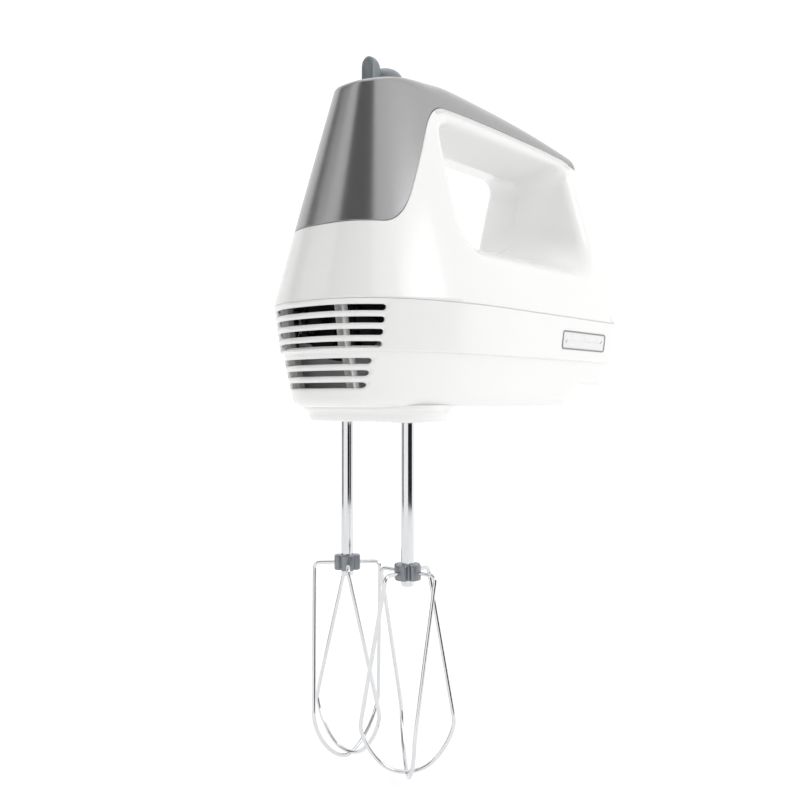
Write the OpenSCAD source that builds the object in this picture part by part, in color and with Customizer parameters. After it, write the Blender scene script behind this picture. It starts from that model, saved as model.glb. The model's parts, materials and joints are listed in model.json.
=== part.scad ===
// Hand mixer with two counter-rotating whisk beaters.
// Millimetres. +Z up, nose towards -X, heel towards +X. The origin is midway between
// the two beater axes, on the underside of the beater platform.

/* [Body] */
// Length of the body from nose to heel
body_l = 188; // [150:1:230]
// Width across the body at the parting line
body_w = 96; // [80:1:120]
// Height of the handle's crest over the platform underside
body_h = 155.3; // [129:0.1:190]
// Overhang of the nose in front of the beater axes
nose_l = 45; // [40:1:52]
// Height of the parting line between the two housings
parting_z = 49.9; // [47:0.1:56]
// Height of the moulded step below the parting line
step_z = 29; // [27:0.1:33]
// Height of the raised platform around the beaters
foot_h = 6.3; // [4:0.1:8]
// Wall of the moulded housings
wall = 2.4; // [1.8:0.1:3]

/* [Handle] */
// Width of the handle at its seam
handle_w = 46; // [38:1:54]
// Depth of the handle below the crest
handle_d = 27; // [24:0.1:34]
// Depth of the seam below the crest
seam_d = 15; // [12:0.1:18]
// Thickness of the rear pillar on the centre line
pillar_t = 26; // [20:1:34]

/* [Vents] */
// Height of one vent slot
slot_h = 2.5; // [1.6:0.1:3]
// Distance from slot to slot
slot_pitch = 4.87; // [4.2:0.01:5.6]
// How far the slots run back from the nose
slot_run = 14.6; // [8:0.1:18]

/* [Beaters] */
// Distance between the two beater axes
beater_gap = 36; // [34:0.5:40]
// Diameter of a beater's stem
stem_d = 5.7; // [5:0.1:7]
// Diameter of the whisk wire
wire_d = 1.75; // [1.2:0.05:2.4]
// Largest radius of a whisk, to the wire's centre
whisk_r = 20.6; // [17:0.1:22]
// Drop of the collar's centre below the platform
collar_drop = 65.2; // [50:0.1:85]
// Drop of the beater's tip below the platform
tip_drop = 155; // [130:1:190]
// Turn of each whisk leg from its arm to its widest corner
leg_turn = 42.5; // [0:0.5:45]

/* [Drive] */
// Teeth on each worm wheel
wheel_teeth = 24; // [20:1:26]
// Axial pitch of the single-start worm
worm_pitch = 3.6; // [3.3:0.05:3.9]
// Height of the motor axis
motor_z = 53; // [50:0.5:56]
// Diameter of the armature core
armature_d = 28; // [24:0.5:30]
// Length of the stator's lamination stack
stator_l = 30; // [24:1:34]
// Diameter of the cooling fan
fan_d = 54; // [44:1:56]

/* [Controls] */
// Travel of the beater ejector
eject_travel = 6; // [4:0.5:7]
// Swing of the speed lever to each side, in degrees
lever_swing = 28; // [10:1:30]
// Travel of the boost button
boost_travel = 1.2; // [0.8:0.1:1.6]

/* [Hidden] */
$fn = 48;
fit = 0.05;             // radial running clearance
slip = 0.2;             // loose clearance
eps = 0.01;
rear_x = body_l - nose_l;
side_y = body_w / 2;
gap_y = beater_gap / 2;
nose_cx = 40;           // centre of the nose's superellipse
nose_a = nose_l + nose_cx;
tail_r = 7;
nose_steps = 13;
tail_steps = 3;
floor_t = wall + 0.3;
base_z = foot_h + floor_t;      // inner floor of the lower housing

// Upper form
seam_z = body_h - seam_d;
grip_z = body_h - handle_d;
stator_h = 48;
stator_w = 52;
deck_z = motor_z + stator_h / 2 + 9.3;  // crest of the finger opening's floor
panel_z = deck_z - 4;
top_r = 11;
round_z = body_h - top_r;
draft = (side_y - handle_w / 2) / (seam_z - parting_z);
crest_x = 30;
crest_fall = 11.6;
nose_fall = 17.2;
seam_x = 55;
seam_fall = 5.1;

// Finger opening
open_x0 = 17;
open_x1 = rear_x - pillar_t;
open_side = 42;
open_floor_fall = 13;
open_roof_rise = 12;
open_front_flare = 4;
open_rear_flare = 16;

// Lower form
band_rate = 0.12;
belly_rate = 0.2;
step_in = 1.3;
belly_r = 4;
notch_x0 = rear_x - 46.3;
notch_x1 = rear_x - 36;
notch_z = foot_h + 10.8;
badge_l = 44;
badge_h = 9.3;
badge_t = 0.8;
badge_x = rear_x - 37.3;
badge_z = parting_z - 11.1;

// Screws and bosses
screw_d = 3;
screw_hole = 3.4;
pilot_d = 2.6;
head_d = 6;
well_d = 6.6;
boss_d = 9.6;
seat_z = parting_z - 12;
screw_l = 20;
front_boss = [-30.6, 14];
rear_boss = [104, 28];

// Gear case
case_x0 = -20;
case_x1 = 20;
case_wall = 4.4;
case_y = gap_y + 16.5;
case_nose_y = 29;
case_z0 = motor_z - 20;
case_z1 = motor_z + 13;
plate_t = 3;
post_x = [-12, 12];
post_y = 27;
bush_d = 13;
spindle_d = 9;
spindle_z0 = 1.5;
spindle_z1 = case_z1 + plate_t + 0.6;
stem_top = motor_z - 6.8;

// Worm and wheels
worm_r = gap_y - wheel_teeth * worm_pitch / (2 * PI);   // pitch radius of the worm
wheel_r = gap_y - worm_r;
tooth_add = 1.1;
tooth_ded = 1.3;
wheel_w = 6;
worm_l = 20;

// Motor
stator_x0 = case_x1 + 6;
stator_x1 = stator_x0 + stator_l;
comm_x0 = stator_x1 + 8;
comm_l = 12;
comm_d = 18;
bracket_x0 = comm_x0 + comm_l + 6;
bracket_t = 3;
bracket_x1 = bracket_x0 + bracket_t;
tie_y = 21.5;
tie_z = 19;
shaft_d = 5;
shaft_x0 = case_x0 - 8;
shaft_x1 = bracket_x1 + 5;

// Controls
rod_x = 6;
rod_d = 9;
frame_z = body_h - 37.3;
frame_t = 3;
frame_screw_y = 5;
rod_top = body_h - 12.3;
pin_d = 5.4;
yoke_z = case_z1 + plate_t + 1.5 + eject_travel;
yoke_h = 5;
lever_hub_d = 17;
lever_top = body_h + 3.5;
tab_top = body_h + 6.2;
boost_x = 30;
boost_d = 11;
board_z = seam_z + 1;
flange_z = crest(boost_x) - wall - 3.3;

// ---------- outlines and lofts ----------

function nose_n(z) = 2.55 + 0.45 * max(0, (z - parting_z) / (body_h - parting_z));

// Plan outline at an inset from the parting line's: a superellipse nose, straight
// sides and two rounded corners at the rear plane.
function half_outline(inset, n, rear) = concat(
    [for (i = [0:nose_steps])
        let (f = 90 * i / nose_steps)
        [nose_cx - (nose_a - inset) * pow(cos(f), 2 / n), (side_y - inset) * pow(sin(f), 2 / n)]],
    [for (i = [0:tail_steps])
        let (f = 90 * i / tail_steps)
        [rear - tail_r + tail_r * sin(f), side_y - inset - tail_r + tail_r * cos(f)]]);

function ring(z, inset, n, rear) =
    let (half = half_outline(inset, n, rear), m = len(half))
    concat([for (p = half) [p[0], p[1], z]],
        [for (i = [m - 1:-1:1]) [half[i][0], -half[i][1], z]]);

// A closed skin over rings of equal length. Each ring runs clockwise as seen from
// the end that the rings advance to.
module loft(rings) {
    n = len(rings[0]);
    m = len(rings);
    sides = [for (k = [0:m - 2], i = [0:n - 1], half = [0, 1])
        let (a = k * n + i, b = k * n + (i + 1) % n)
        half == 0 ? [a, b, b + n] : [a, b + n, a + n]];
    caps = [[for (i = [n - 1:-1:0]) i], [for (i = [0:n - 1]) (m - 1) * n + i]];
    polyhedron(points = [for (r = rings) each r], faces = concat(caps, sides));
}

function crest(x) = body_h - (x < crest_x
    ? nose_fall * pow((crest_x - x) / (crest_x + nose_l), 1.5)
    : crest_fall * pow((x - crest_x) / (rear_x - crest_x), 1.8));
function seam(x) = seam_z - seam_fall * pow(abs(x - seam_x) / (rear_x - seam_x), 2.4);
function round_in(z) = z <= round_z ? 0
    : top_r - sqrt(max(0, top_r * top_r - (z - round_z) * (z - round_z)));
function upper_in(z) = draft * (z - parting_z) + round_in(z);

// Upper housing and cover together, as one solid, shrunk by t on every side
module upper_form(t = 0) {
    start = t > 0 ? parting_z - 1 : parting_z;
    zs = [start, panel_z, seam_z, round_z, round_z + 4, round_z + 7, round_z + 9, body_h];
    crest_pts = [for (i = [0:20])
        let (x = -nose_l - 1 + (body_l + 2) * i / 20) [x, crest(x) - t]];
    intersection() {
        loft([for (z = zs)
            ring(z - (z >= round_z ? t : 0), upper_in(z) + t, nose_n(z), rear_x - t)]);
        translate([0, body_w, 0]) rotate([90, 0, 0]) linear_extrude(2 * body_w)
            polygon(concat([[-nose_l - 1, 0]], crest_pts, [[rear_x + 1, 0]]));
    }
}

// Finger opening, flared towards both sides, grown by t
function arc_pts(cx, cz, r, a0, y) = [for (i = [0:5])
    let (a = a0 + 18 * i) [cx + r * cos(a), y, cz + r * sin(a)]];
function opening_ring(y, t) =
    let (share = abs(y) / open_side, f = share * (0.7 + 0.3 * share),
        x0 = open_x0 - open_front_flare * f - t,
        x1 = open_x1 + open_rear_flare * f + t,
        z0 = deck_z - open_floor_fall * f - t,
        z1 = grip_z + open_roof_rise * f + t,
        h = z1 - z0,
        r0 = min(14, 0.45 * h),
        r1 = min(22, 0.52 * h),
        r2 = min(7, 0.2 * h),
        r3 = min(9, 0.25 * h))
    concat(arc_pts(x0 + r0, z0 + r0, r0, 180, y), arc_pts(x1 - r1 - 2, z0 + r1, r1, 270, y),
        arc_pts(x1 - r2, z1 - r2, r2, 0, y), arc_pts(x0 + r3, z1 - r3, r3, 90, y));
module opening(t = 0) {
    ys = [-56, -42, -28, -14, 0, 14, 28, 42, 56];
    loft([for (y = ys) opening_ring(y * body_w / 96, t)]);
}

// Side-view region that belongs to the grey cover
module cover_region() {
    foot = [[-nose_l - 5, panel_z], [-24, panel_z], [-19.5, panel_z + 1.2],
        [-15.5, panel_z + 4.4], [-12.4, panel_z + 9.5], [-10.3, panel_z + 15.7]];
    neck = [[4.6, seam_z - 13], [6.6, seam_z - 7.6], [9.6, seam_z - 3.2], [13.6, seam_z - 1]];
    line = [for (i = [0:16])
        let (x = 19 + (rear_x + 5 - 19) * i / 16) [x, seam(x)]];
    translate([0, body_w, 0]) rotate([90, 0, 0]) linear_extrude(2 * body_w)
        polygon(concat(foot, neck, line,
            [[rear_x + 5, body_h + 20], [-nose_l - 5, body_h + 20]]));
}

function lower_in(z) = z >= step_z ? band_rate * (parting_z - z)
    : band_rate * (parting_z - step_z) + step_in + belly_rate * (step_z - z)
        + (z >= foot_h + belly_r ? 0
            : belly_r - sqrt(max(0, belly_r * belly_r - pow(foot_h + belly_r - z, 2))));
module lower_form(t = 0) {
    zs = [foot_h, foot_h + 0.6, foot_h + 1.7, foot_h + belly_r, step_z - eps, step_z, parting_z];
    lift = t > 0 ? floor_t : 0;
    loft(concat([for (z = zs)
        ring(z + (z < step_z ? lift : 0), lower_in(z) + t, nose_n(z), rear_x - lower_in(z) - t)],
        t > 0 ? [ring(parting_z + 1, t, nose_n(0), rear_x - t)] : []));
}

// Bowl-rest notch under the heel, raised by t
module notch(t = 0) {
    translate([0, body_w, 0]) rotate([90, 0, 0]) linear_extrude(2 * body_w)
        polygon([[notch_x0 - t, -1], [notch_x0 - t, foot_h + t], [notch_x1 - t, notch_z + t],
            [rear_x + 5, notch_z + t], [rear_x + 5, -1]]);
}

module at_pair(p) {
    for (s = [-1, 1]) translate([p[0], s * p[1], 0]) children();
}
module at_housing_screws() {
    at_pair(front_boss) children();
    at_pair(rear_boss) children();
}
module x_rod(x0, x1, d, y = 0, z = motor_z) {
    translate([x0, y, z]) rotate([0, 90, 0]) cylinder(h = x1 - x0, d = d);
}
module block(x0, x1, y0, y1, z0, z1) {
    translate([x0, y0, z0]) cube([x1 - x0, y1 - y0, z1 - z0]);
}
module badge_place() {
    tilt = atan(band_rate);
    y = side_y - band_rate * (parting_z - badge_z);
    translate([badge_x, -y, badge_z]) rotate([tilt, 0, 0]) children();
}
// A screw with its head's seat at z = 0 and its shank upwards
module screw(l, d = screw_d, head = head_d) {
    translate([0, 0, -2]) cylinder(h = 2, d = head);
    cylinder(h = l, d = d - 0.4);
}

// ---------- housings ----------

module upper_housing() {
    color("white") difference() {
        union() {
            difference() {
                upper_form();
                difference() {
                    upper_form(wall);
                    opening(wall);
                }
            }
            intersection() {
                upper_form(0.5);
                union() {
                    at_pair(front_boss) translate([0, 0, parting_z]) {
                        cylinder(h = 12, d = boss_d);
                        translate([-14, -1.5, 0]) cube([14, 3, 12]);
                    }
                    at_pair(rear_boss) translate([0, 0, parting_z]) {
                        cylinder(h = 12, d = boss_d);
                        translate([-1.5, 0, 0]) cube([3, 20, 12]);
                        translate([-1.5, -20, 0]) cube([3, 20, 12]);
                    }
                    block(8, open_x0 + 4, -7, 7, frame_z - 6, frame_z);
                    block(boost_x - 7, boost_x + 7, -7, 7, grip_z + 1, board_z - 1);
                    for (x = [48, 92]) translate([x, 0, grip_z + 1])
                        cylinder(h = board_z - grip_z - 1, d = 6);
                }
            }
        }
        opening();
        cover_region();
        at_housing_screws() translate([0, 0, parting_z - 1]) cylinder(h = 11, d = pilot_d);
        for (x = [48, 92]) translate([x, 0, board_z - 6]) cylinder(h = 7, d = 1.6);
        for (s = [-1, 1]) translate([12, frame_screw_y * s, frame_z - 5]) cylinder(h = 6, d = 1.6);
        translate([rod_x, 0, frame_z - 7]) cylinder(h = 8, d = rod_d + 1);
    }
}

module handle_cover() {
    color("darkgray") difference() {
        intersection() {
            difference() {
                upper_form();
                upper_form(wall);
            }
            cover_region();
        }
        translate([rod_x, 0, body_h - 30]) {
            cylinder(h = 40, d = lever_hub_d + 4 * slip);
            linear_extrude(40) lever_sector(13.3, lever_swing + 26);
        }
        translate([boost_x, 0, body_h - 10]) cylinder(h = 20, d = boost_d + 2 * slip);
    }
}

module lever_sector(r, a) {
    polygon(concat([[0, 0]], [for (i = [0:8])
        let (b = 180 - a + 2 * a * i / 8) [r * cos(b), r * sin(b)]]));
}

module platform_plan(d) {
    for (s = [-1, 1]) translate([0, s * gap_y]) circle(d = d);
    square([d, beater_gap], center = true);
}

module lower_housing() {
    color("white") difference() {
        union() {
            difference() {
                lower_form();
                notch();
                difference() {
                    lower_form(wall);
                    notch(floor_t);
                }
            }
            linear_extrude(foot_h + 1) platform_plan(35);
            intersection() {
                lower_form(0.5);
                union() {
                    at_housing_screws() translate([0, 0, foot_h])
                        cylinder(h = parting_z - foot_h, d = boss_d);
                    for (x = post_x) at_pair([x, post_y]) translate([0, 0, foot_h])
                        cylinder(h = case_z0 - foot_h, d = 8);
                    at_pair([-38, 16]) translate([-5, -2, foot_h])
                        cube([5.5, 4, parting_z - foot_h]);
                    at_pair([rear_x - 28, 7]) translate([0, 0, notch_z])
                        cylinder(h = 11, d = 6);
                }
            }
        }
        slots();
        notch();
        for (s = [-1, 1]) translate([0, s * gap_y, -1]) cylinder(h = base_z + 2, d = bush_d - 1);
        at_housing_screws() {
            translate([0, 0, -1]) cylinder(h = seat_z + 1, d = well_d);
            translate([0, 0, -1]) cylinder(h = parting_z + 2, d = screw_hole);
        }
        for (x = post_x) at_pair([x, post_y]) translate([0, 0, case_z0 - 12])
            cylinder(h = 13, d = pilot_d);
        at_pair([rear_x - 28, 7]) translate([0, 0, notch_z + 3]) cylinder(h = 9, d = 1.8);
        translate([rear_x - 18, 0, notch_z - 1]) cylinder(h = 6, d = 12);
        badge_place() rounded_plate(badge_l + 0.2, badge_h + 0.2, badge_t, 3);
    }
}

// The vent slots: four above the step, three below it
module slots() {
    uppers = [for (i = [0:3]) parting_z - 3.8 - i * slot_pitch];
    lowers = [for (i = [0:2]) step_z - 4.1 - i * slot_pitch];
    x1 = -nose_l + slot_run - slot_h / 2;
    translate([0, body_w, 0]) rotate([90, 0, 0]) linear_extrude(2 * body_w)
        for (z = concat(uppers, lowers)) {
            x = z > step_z ? x1 : x1 - 1.2;
            translate([-nose_l - 5, z - slot_h / 2]) square([x + nose_l + 5, slot_h]);
            translate([x, z]) circle(d = slot_h);
        }
}

// A plate in the XZ plane, centred, its outer face at y = 0 and its depth towards +Y.
// over is how far the cutter stands out in front.
module rounded_plate(l, h, t, over = 0) {
    r = 1.6;
    translate([0, t, 0]) rotate([90, 0, 0]) linear_extrude(t + over) {
        square([l - 2 * r, h], center = true);
        square([l, h - 2 * r], center = true);
        for (sx = [-1, 1], sz = [-1, 1])
            translate([sx * (l / 2 - r), sz * (h / 2 - r)]) circle(r = r, $fn = 24);
    }
}
module badge_plate() {
    color("gainsboro") badge_place() rounded_plate(badge_l, badge_h, badge_t, 0.15);
}

// ---------- gear case ----------

module case_plan() {
    polygon([[case_x0, -case_nose_y], [-6, -case_y], [case_x1, -case_y],
        [case_x1, case_y], [-6, case_y], [case_x0, case_nose_y]]);
}
// Baffle under the case's front wall, clear of the housing's rounded belly
module baffle_plan() {
    half = [[case_nose_y - 8.5, base_z], [case_nose_y - 3.5, base_z + 2],
        [case_nose_y - 1, base_z + 11], [case_nose_y - 1, case_z0 + 1]];
    polygon(concat(half, [for (i = [3:-1:0]) [-half[i][0], half[i][1]]]));
}
module gear_case() {
    color("dimgray") difference() {
        union() {
            translate([0, 0, case_z0]) linear_extrude(plate_t) case_plan();
            block(case_x0, case_x0 + case_wall, -case_nose_y, case_nose_y, case_z0, case_z1);
            block(case_x1 - case_wall, case_x1, -case_y, case_y, case_z0, case_z1);
            translate([case_x0, 0, 0]) rotate([90, 0, 90]) linear_extrude(2) baffle_plan();
        }
        for (s = [-1, 1]) translate([0, s * gap_y, case_z0 - 1])
            cylinder(h = plate_t + 2, d = bush_d);
        for (x = post_x) at_pair([x, post_y]) translate([0, 0, case_z0 - 1])
            cylinder(h = plate_t + 2, d = screw_hole);
        x_rod(case_x0 - 1, case_x0 + case_wall + 1, 10);
        x_rod(case_x1 - case_wall - 1, case_x1 + 1, 13);
        at_ties() x_rod(case_x1 - case_wall - 1, case_x1 + 1, 3, 0, 0);
        at_cover_screws() translate([0, 0, case_z1 - 8]) cylinder(h = 9, d = 1.8);
    }
}
module at_cover_screws() {
    for (s = [-1, 1]) {
        translate([case_x0 + case_wall / 2, s * (case_nose_y - 5), 0]) children();
        translate([case_x1 - case_wall / 2, s * (case_y - 5), 0]) children();
    }
}
module at_ties() {
    for (s = [-1, 1]) translate([0, s * tie_y, motor_z - s * tie_z]) children();
}
module gear_cover() {
    color("gray") difference() {
        translate([0, 0, case_z1]) linear_extrude(plate_t) case_plan();
        for (s = [-1, 1]) translate([0, s * gap_y, case_z1 - 1])
            cylinder(h = plate_t + 2, d = bush_d);
        at_cover_screws() translate([0, 0, case_z1 - 1]) cylinder(h = plate_t + 2, d = 2.4);
    }
}
module gear_case_screws() {
    color("silver") for (x = post_x) at_pair([x, post_y])
        translate([0, 0, case_z0 + plate_t]) rotate([180, 0, 0]) screw(12);
}
module gear_cover_screws() {
    color("silver") at_cover_screws()
        translate([0, 0, case_z1 + plate_t]) rotate([180, 0, 0]) screw(9, 2.2, 4);
}
module bush(z, h, d) {
    for (s = [-1, 1]) translate([0, s * gap_y, z]) difference() {
        cylinder(h = h, d = d);
        translate([0, 0, -1]) cylinder(h = h + 2, d = spindle_d + 2 * fit);
    }
}
module spindle_bushes() {
    color("peru") {
        bush(spindle_z0, base_z - spindle_z0, bush_d - 1);
        bush(case_z0, plate_t, bush_d);
        bush(case_z1, plate_t, bush_d);
    }
}

// ---------- motor ----------

module sleeve(x0, x1, outer, inner, y = 0, z = motor_z) {
    difference() {
        x_rod(x0, x1, outer, y, z);
        x_rod(x0 - 1, x1 + 1, inner, y, z);
    }
}
module front_bearing() {
    color("peru") sleeve(case_x0, case_x0 + case_wall, 10, shaft_d + 2 * fit);
}
module rear_bearing() {
    color("peru") sleeve(bracket_x0 - 1, bracket_x1 + 2, 10, shaft_d + 2 * fit);
}
module motor_stator() {
    color("slategray") difference() {
        intersection() {
            block(stator_x0, stator_x1, -stator_w / 2, stator_w / 2,
                motor_z - stator_h / 2, motor_z + stator_h / 2);
            x_rod(stator_x0, stator_x1, 64);
        }
        x_rod(stator_x0 - 1, stator_x1 + 1, armature_d + 1);
        for (s = [-1, 1], t = [-1, 1])
            translate([stator_x0 - 1, s * 17.5 - 3, motor_z + t * 12.5 - 4])
                cube([stator_l + 2, 6, 8]);
        at_ties() x_rod(stator_x0 - 1, stator_x1 + 1, screw_hole, 0, 0);
    }
}
module field_coils() {
    reach = 5;
    color("chocolate") for (t = [-1, 1]) translate([0, 0, motor_z + t * 12.5]) difference() {
        block(stator_x0 - reach, stator_x1 + reach, -20, 20, -3, 3);
        block(stator_x0, stator_x1, -15, 15, -4, 4);
        block(stator_x0 - reach - 1, stator_x1 + reach + 1, -11.5, 11.5,
            t > 0 ? -4 : -1, t > 0 ? 1 : 4);
        translate([0, 0, -t * 12.5]) x_rod(stator_x0 - reach - 1, stator_x1 + reach + 1,
            armature_d + 1, 0, 0);
    }
}
module motor_spacers() {
    color("tan") at_ties() {
        sleeve(case_x1, stator_x0, 7, screw_hole, 0, 0);
        sleeve(stator_x1, bracket_x0, 7, screw_hole, 0, 0);
    }
}
module motor_screws() {
    color("silver") at_ties() translate([bracket_x1, 0, 0]) rotate([0, -90, 0])
        screw(bracket_x1 - case_x1 + case_wall, 3.4);
}
module rear_bracket() {
    arm_x = comm_x0 + 10;
    color("dimgray") difference() {
        union() {
            block(bracket_x0, bracket_x1, -26, 26, base_z, motor_z + 22);
            x_rod(bracket_x0 - 1, bracket_x1 + 2, 16);
            for (s = [-1, 1]) block(arm_x, bracket_x0 + eps, s * 18 - 7, s * 18 + 7,
                motor_z - 5, motor_z + 5);
        }
        x_rod(bracket_x0 - 2, bracket_x1 + 3, 10);
        at_ties() x_rod(bracket_x0 - 1, bracket_x1 + 1, screw_hole, 0, 0);
        block(bracket_x0 - 1, bracket_x1 + 1, -12, 12, base_z + 6, motor_z - 14);
    }
}
module brush_holders() {
    x = comm_x0 + 6;
    color("goldenrod") for (s = [-1, 1]) difference() {
        block(x - 4, x + 4, s * 18 - 7, s * 18 + 7, motor_z - 4, motor_z + 4);
        block(x - 3, x + 3, s * 17 - 9, s * 17 + 7, motor_z - 3, motor_z + 3);
    }
}
module carbon_brushes() {
    x = comm_x0 + 6;
    color("black") for (s = [-1, 1]) difference() {
        block(x - 3, x + 3, s * 13 - 4.2, s * 13 + 4.2, motor_z - 3, motor_z + 3);
        x_rod(x - 4, x + 4, comm_d + 0.2);
    }
}
module brush_springs() {
    x = comm_x0 + 6;
    color("silver") for (s = [-1, 1]) translate([x, s * 17.2, motor_z])
        rotate([s > 0 ? -90 : 90, 0, 0]) spring(6.8, 4, 0.5, 4);
}
// Compression spring on +Z as flat rings joined by a thin spine
module spring(h, d, w, turns) {
    for (i = [0:turns]) translate([0, 0, i * (h - w) / turns]) difference() {
        cylinder(h = w, d = d);
        translate([0, 0, -1]) cylinder(h = w + 2, d = d - 2 * w);
    }
    translate([d / 2 - w, -w / 2, 0]) cube([w * 0.9, w, h]);
}

// The thread of the worm: a trapezoid carried along a helix about X
function worm_ring(a) =
    let (x = worm_pitch * a / 360,
        r0 = worm_r - tooth_ded - 0.3,
        r1 = worm_r + tooth_add,
        c = cos(a),
        s = sin(a))
    [for (p = [[-0.85, r0], [-0.36, r1], [0.36, r1], [0.85, r0]])
        [x + p[0], p[1] * c, p[1] * s]];
module armature_shaft() {
    turns = worm_l / worm_pitch;
    color("silver") {
        x_rod(shaft_x0, -worm_l / 2 - 1, shaft_d);
        x_rod(-worm_l / 2 - 1, worm_l / 2 + 1, 2 * (worm_r - tooth_ded));
        x_rod(worm_l / 2 + 1, comm_x0 + comm_l, 7);
        x_rod(comm_x0 + comm_l, shaft_x1, shaft_d);
        translate([0, 0, motor_z])
            loft([for (i = [-70:70]) worm_ring(180 * turns * i / 70)]);
    }
}
module armature_core() {
    color("slategray") translate([stator_x0 + 1, 0, motor_z]) rotate([0, 90, 0])
        linear_extrude(stator_l - 2) difference() {
            circle(d = armature_d);
            circle(d = 7);
            for (i = [0:11]) rotate(30 * i) {
                translate([armature_d / 2 - 5, -0.8]) square([6, 1.6]);
                translate([armature_d / 2 - 5.4, 0]) circle(d = 4.2, $fn = 20);
            }
        }
}
module armature_windings() {
    r = armature_d / 2 - 1.6;
    color("chocolate") for (x = [stator_x0 - 3.5, stator_x1 - 1])
        translate([x, 0, motor_z]) rotate([0, 90, 0]) rotate_extrude() difference() {
            union() {
                square([r - 1, 4.5]);
                translate([0, 1]) square([r, 2.5]);
                translate([r - 1, 1]) circle(r = 1, $fn = 20);
                translate([r - 1, 3.5]) circle(r = 1, $fn = 20);
            }
            translate([-1, -1]) square([4.5, 7]);
        }
}
module commutator() {
    color("darkgoldenrod") difference() {
        sleeve(comm_x0, comm_x0 + comm_l, comm_d, 7);
        for (i = [0:11]) translate([0, 0, motor_z]) rotate([30 * i + 15, 0, 0])
            translate([comm_x0 - 1, -0.3, comm_d / 2 - 1]) cube([comm_l + 2, 0.6, 2]);
    }
}
module cooling_fan() {
    back = case_x0 - 1;
    color("black") difference() {
        union() {
            x_rod(back - 1.2, back, fan_d);
            x_rod(back - 6, back, 11);
            for (i = [0:9]) translate([0, 0, motor_z]) rotate([36 * i + 10, 0, 0])
                translate([back - 4.2, -0.6, 4]) cube([3.2, 1.2, fan_d / 2 - 4.3]);
        }
        x_rod(back - 7, back + 1, shaft_d);
    }
}

// ---------- spindles and wheels ----------

module spindle(s) {
    color("silver") translate([0, s * gap_y, 0]) difference() {
        translate([0, 0, spindle_z0]) cylinder(h = spindle_z1 - spindle_z0, d = spindle_d);
        translate([0, 0, spindle_z0 - 1])
            cylinder(h = spindle_z1 - spindle_z0 + 2, d = stem_d + 2 * fit);
    }
}
// Straight-toothed wheel. phase turns it so that a gap meets the worm's thread.
module wheel(s, phase) {
    step = 360 / wheel_teeth;
    tip = wheel_r + tooth_add;
    root = wheel_r - tooth_ded;
    color("ivory") translate([0, s * gap_y, motor_z - wheel_w / 2]) difference() {
        union() {
            linear_extrude(wheel_w) {
                circle(r = root, $fn = 96);
                for (i = [0:wheel_teeth - 1]) rotate(phase + step * i)
                    polygon([[root - 0.5, -0.98], [tip, -0.34], [tip, 0.34], [root - 0.5, 0.98]]);
            }
            translate([0, 0, -2.5]) cylinder(h = wheel_w + 5, d = 15);
        }
        translate([0, 0, -4]) cylinder(h = wheel_w + 8, d = spindle_d);
        for (i = [0:5]) rotate(60 * i) translate([9.6, 0, wheel_w / 2 + 1.2])
            cylinder(h = wheel_w, d = 3.6);
    }
}

// ---------- beaters ----------

module beater_stem(s) {
    color("silver") translate([0, s * gap_y, 0]) difference() {
        translate([0, 0, -collar_drop - 6.2]) cylinder(h = stem_top + collar_drop + 6.2, d = stem_d);
        translate([0, 0, stem_top - 8]) difference() {
            cylinder(h = 2, d = stem_d + 1);
            translate([0, 0, -1]) cylinder(h = 4, d = stem_d - 1);
        }
    }
}
collar_d = 11.9;
collar_h = 6.7;
lobe_w = 5;
module beater_collar(s, turn) {
    color("gray") translate([0, s * gap_y, -collar_drop - collar_h / 2]) rotate(turn) difference() {
        union() {
            for (a = [0, 90]) rotate(a) translate([-collar_d / 2, -lobe_w / 2, 0])
                cube([collar_d, lobe_w, collar_h]);
            cylinder(h = collar_h, d = stem_d + 2.6);
        }
        translate([0, 0, -1]) cylinder(h = collar_h + 2, d = stem_d);
    }
}

// Half of one whisk loop as [radius, turn, z]: arm, bend, straight leg and bottom bow
arm_r = 15;
bend_r = 2.5;
corner_z = -tip_drop + 24.3;
function on_plan(p, turn) = [p[0] * cos(turn + p[1]), p[0] * sin(turn + p[1]), p[2]];
function leg_pts(hand) = [for (i = [1:4])
    let (t = i / 4, a = [arm_r, 0], b = [whisk_r * cos(leg_turn), whisk_r * sin(leg_turn)],
        x = a[0] + (b[0] - a[0]) * t, y = b[1] * t)
    [norm([x, y]), hand * atan2(y, x),
        -collar_drop - bend_r + (corner_z + collar_drop + bend_r) * t]];
function bow_pts(hand, rise) = [for (i = [1:9])
    let (f = 10 * i, d = tip_drop - wire_d / 2 + corner_z,
        hump = rise * pow(max(0, (i - 5) / 4), 2) * (3 - 2 * max(0, (i - 5) / 4)))
    [whisk_r * pow(cos(f), 2 / 1.6), hand * leg_turn, corner_z - d * pow(sin(f), 2 / 1.6) + hump]];
function half_loop(hand, rise) = concat(
    [[collar_d / 2, 0, -collar_drop], [arm_r - bend_r, 0, -collar_drop]],
    [for (i = [1:3]) let (f = 22.5 * i)
        [arm_r - bend_r + bend_r * sin(f), 0, -collar_drop - bend_r + bend_r * cos(f)]],
    leg_pts(hand), bow_pts(hand, rise));
function unit(v) = v / norm(v);
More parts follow.
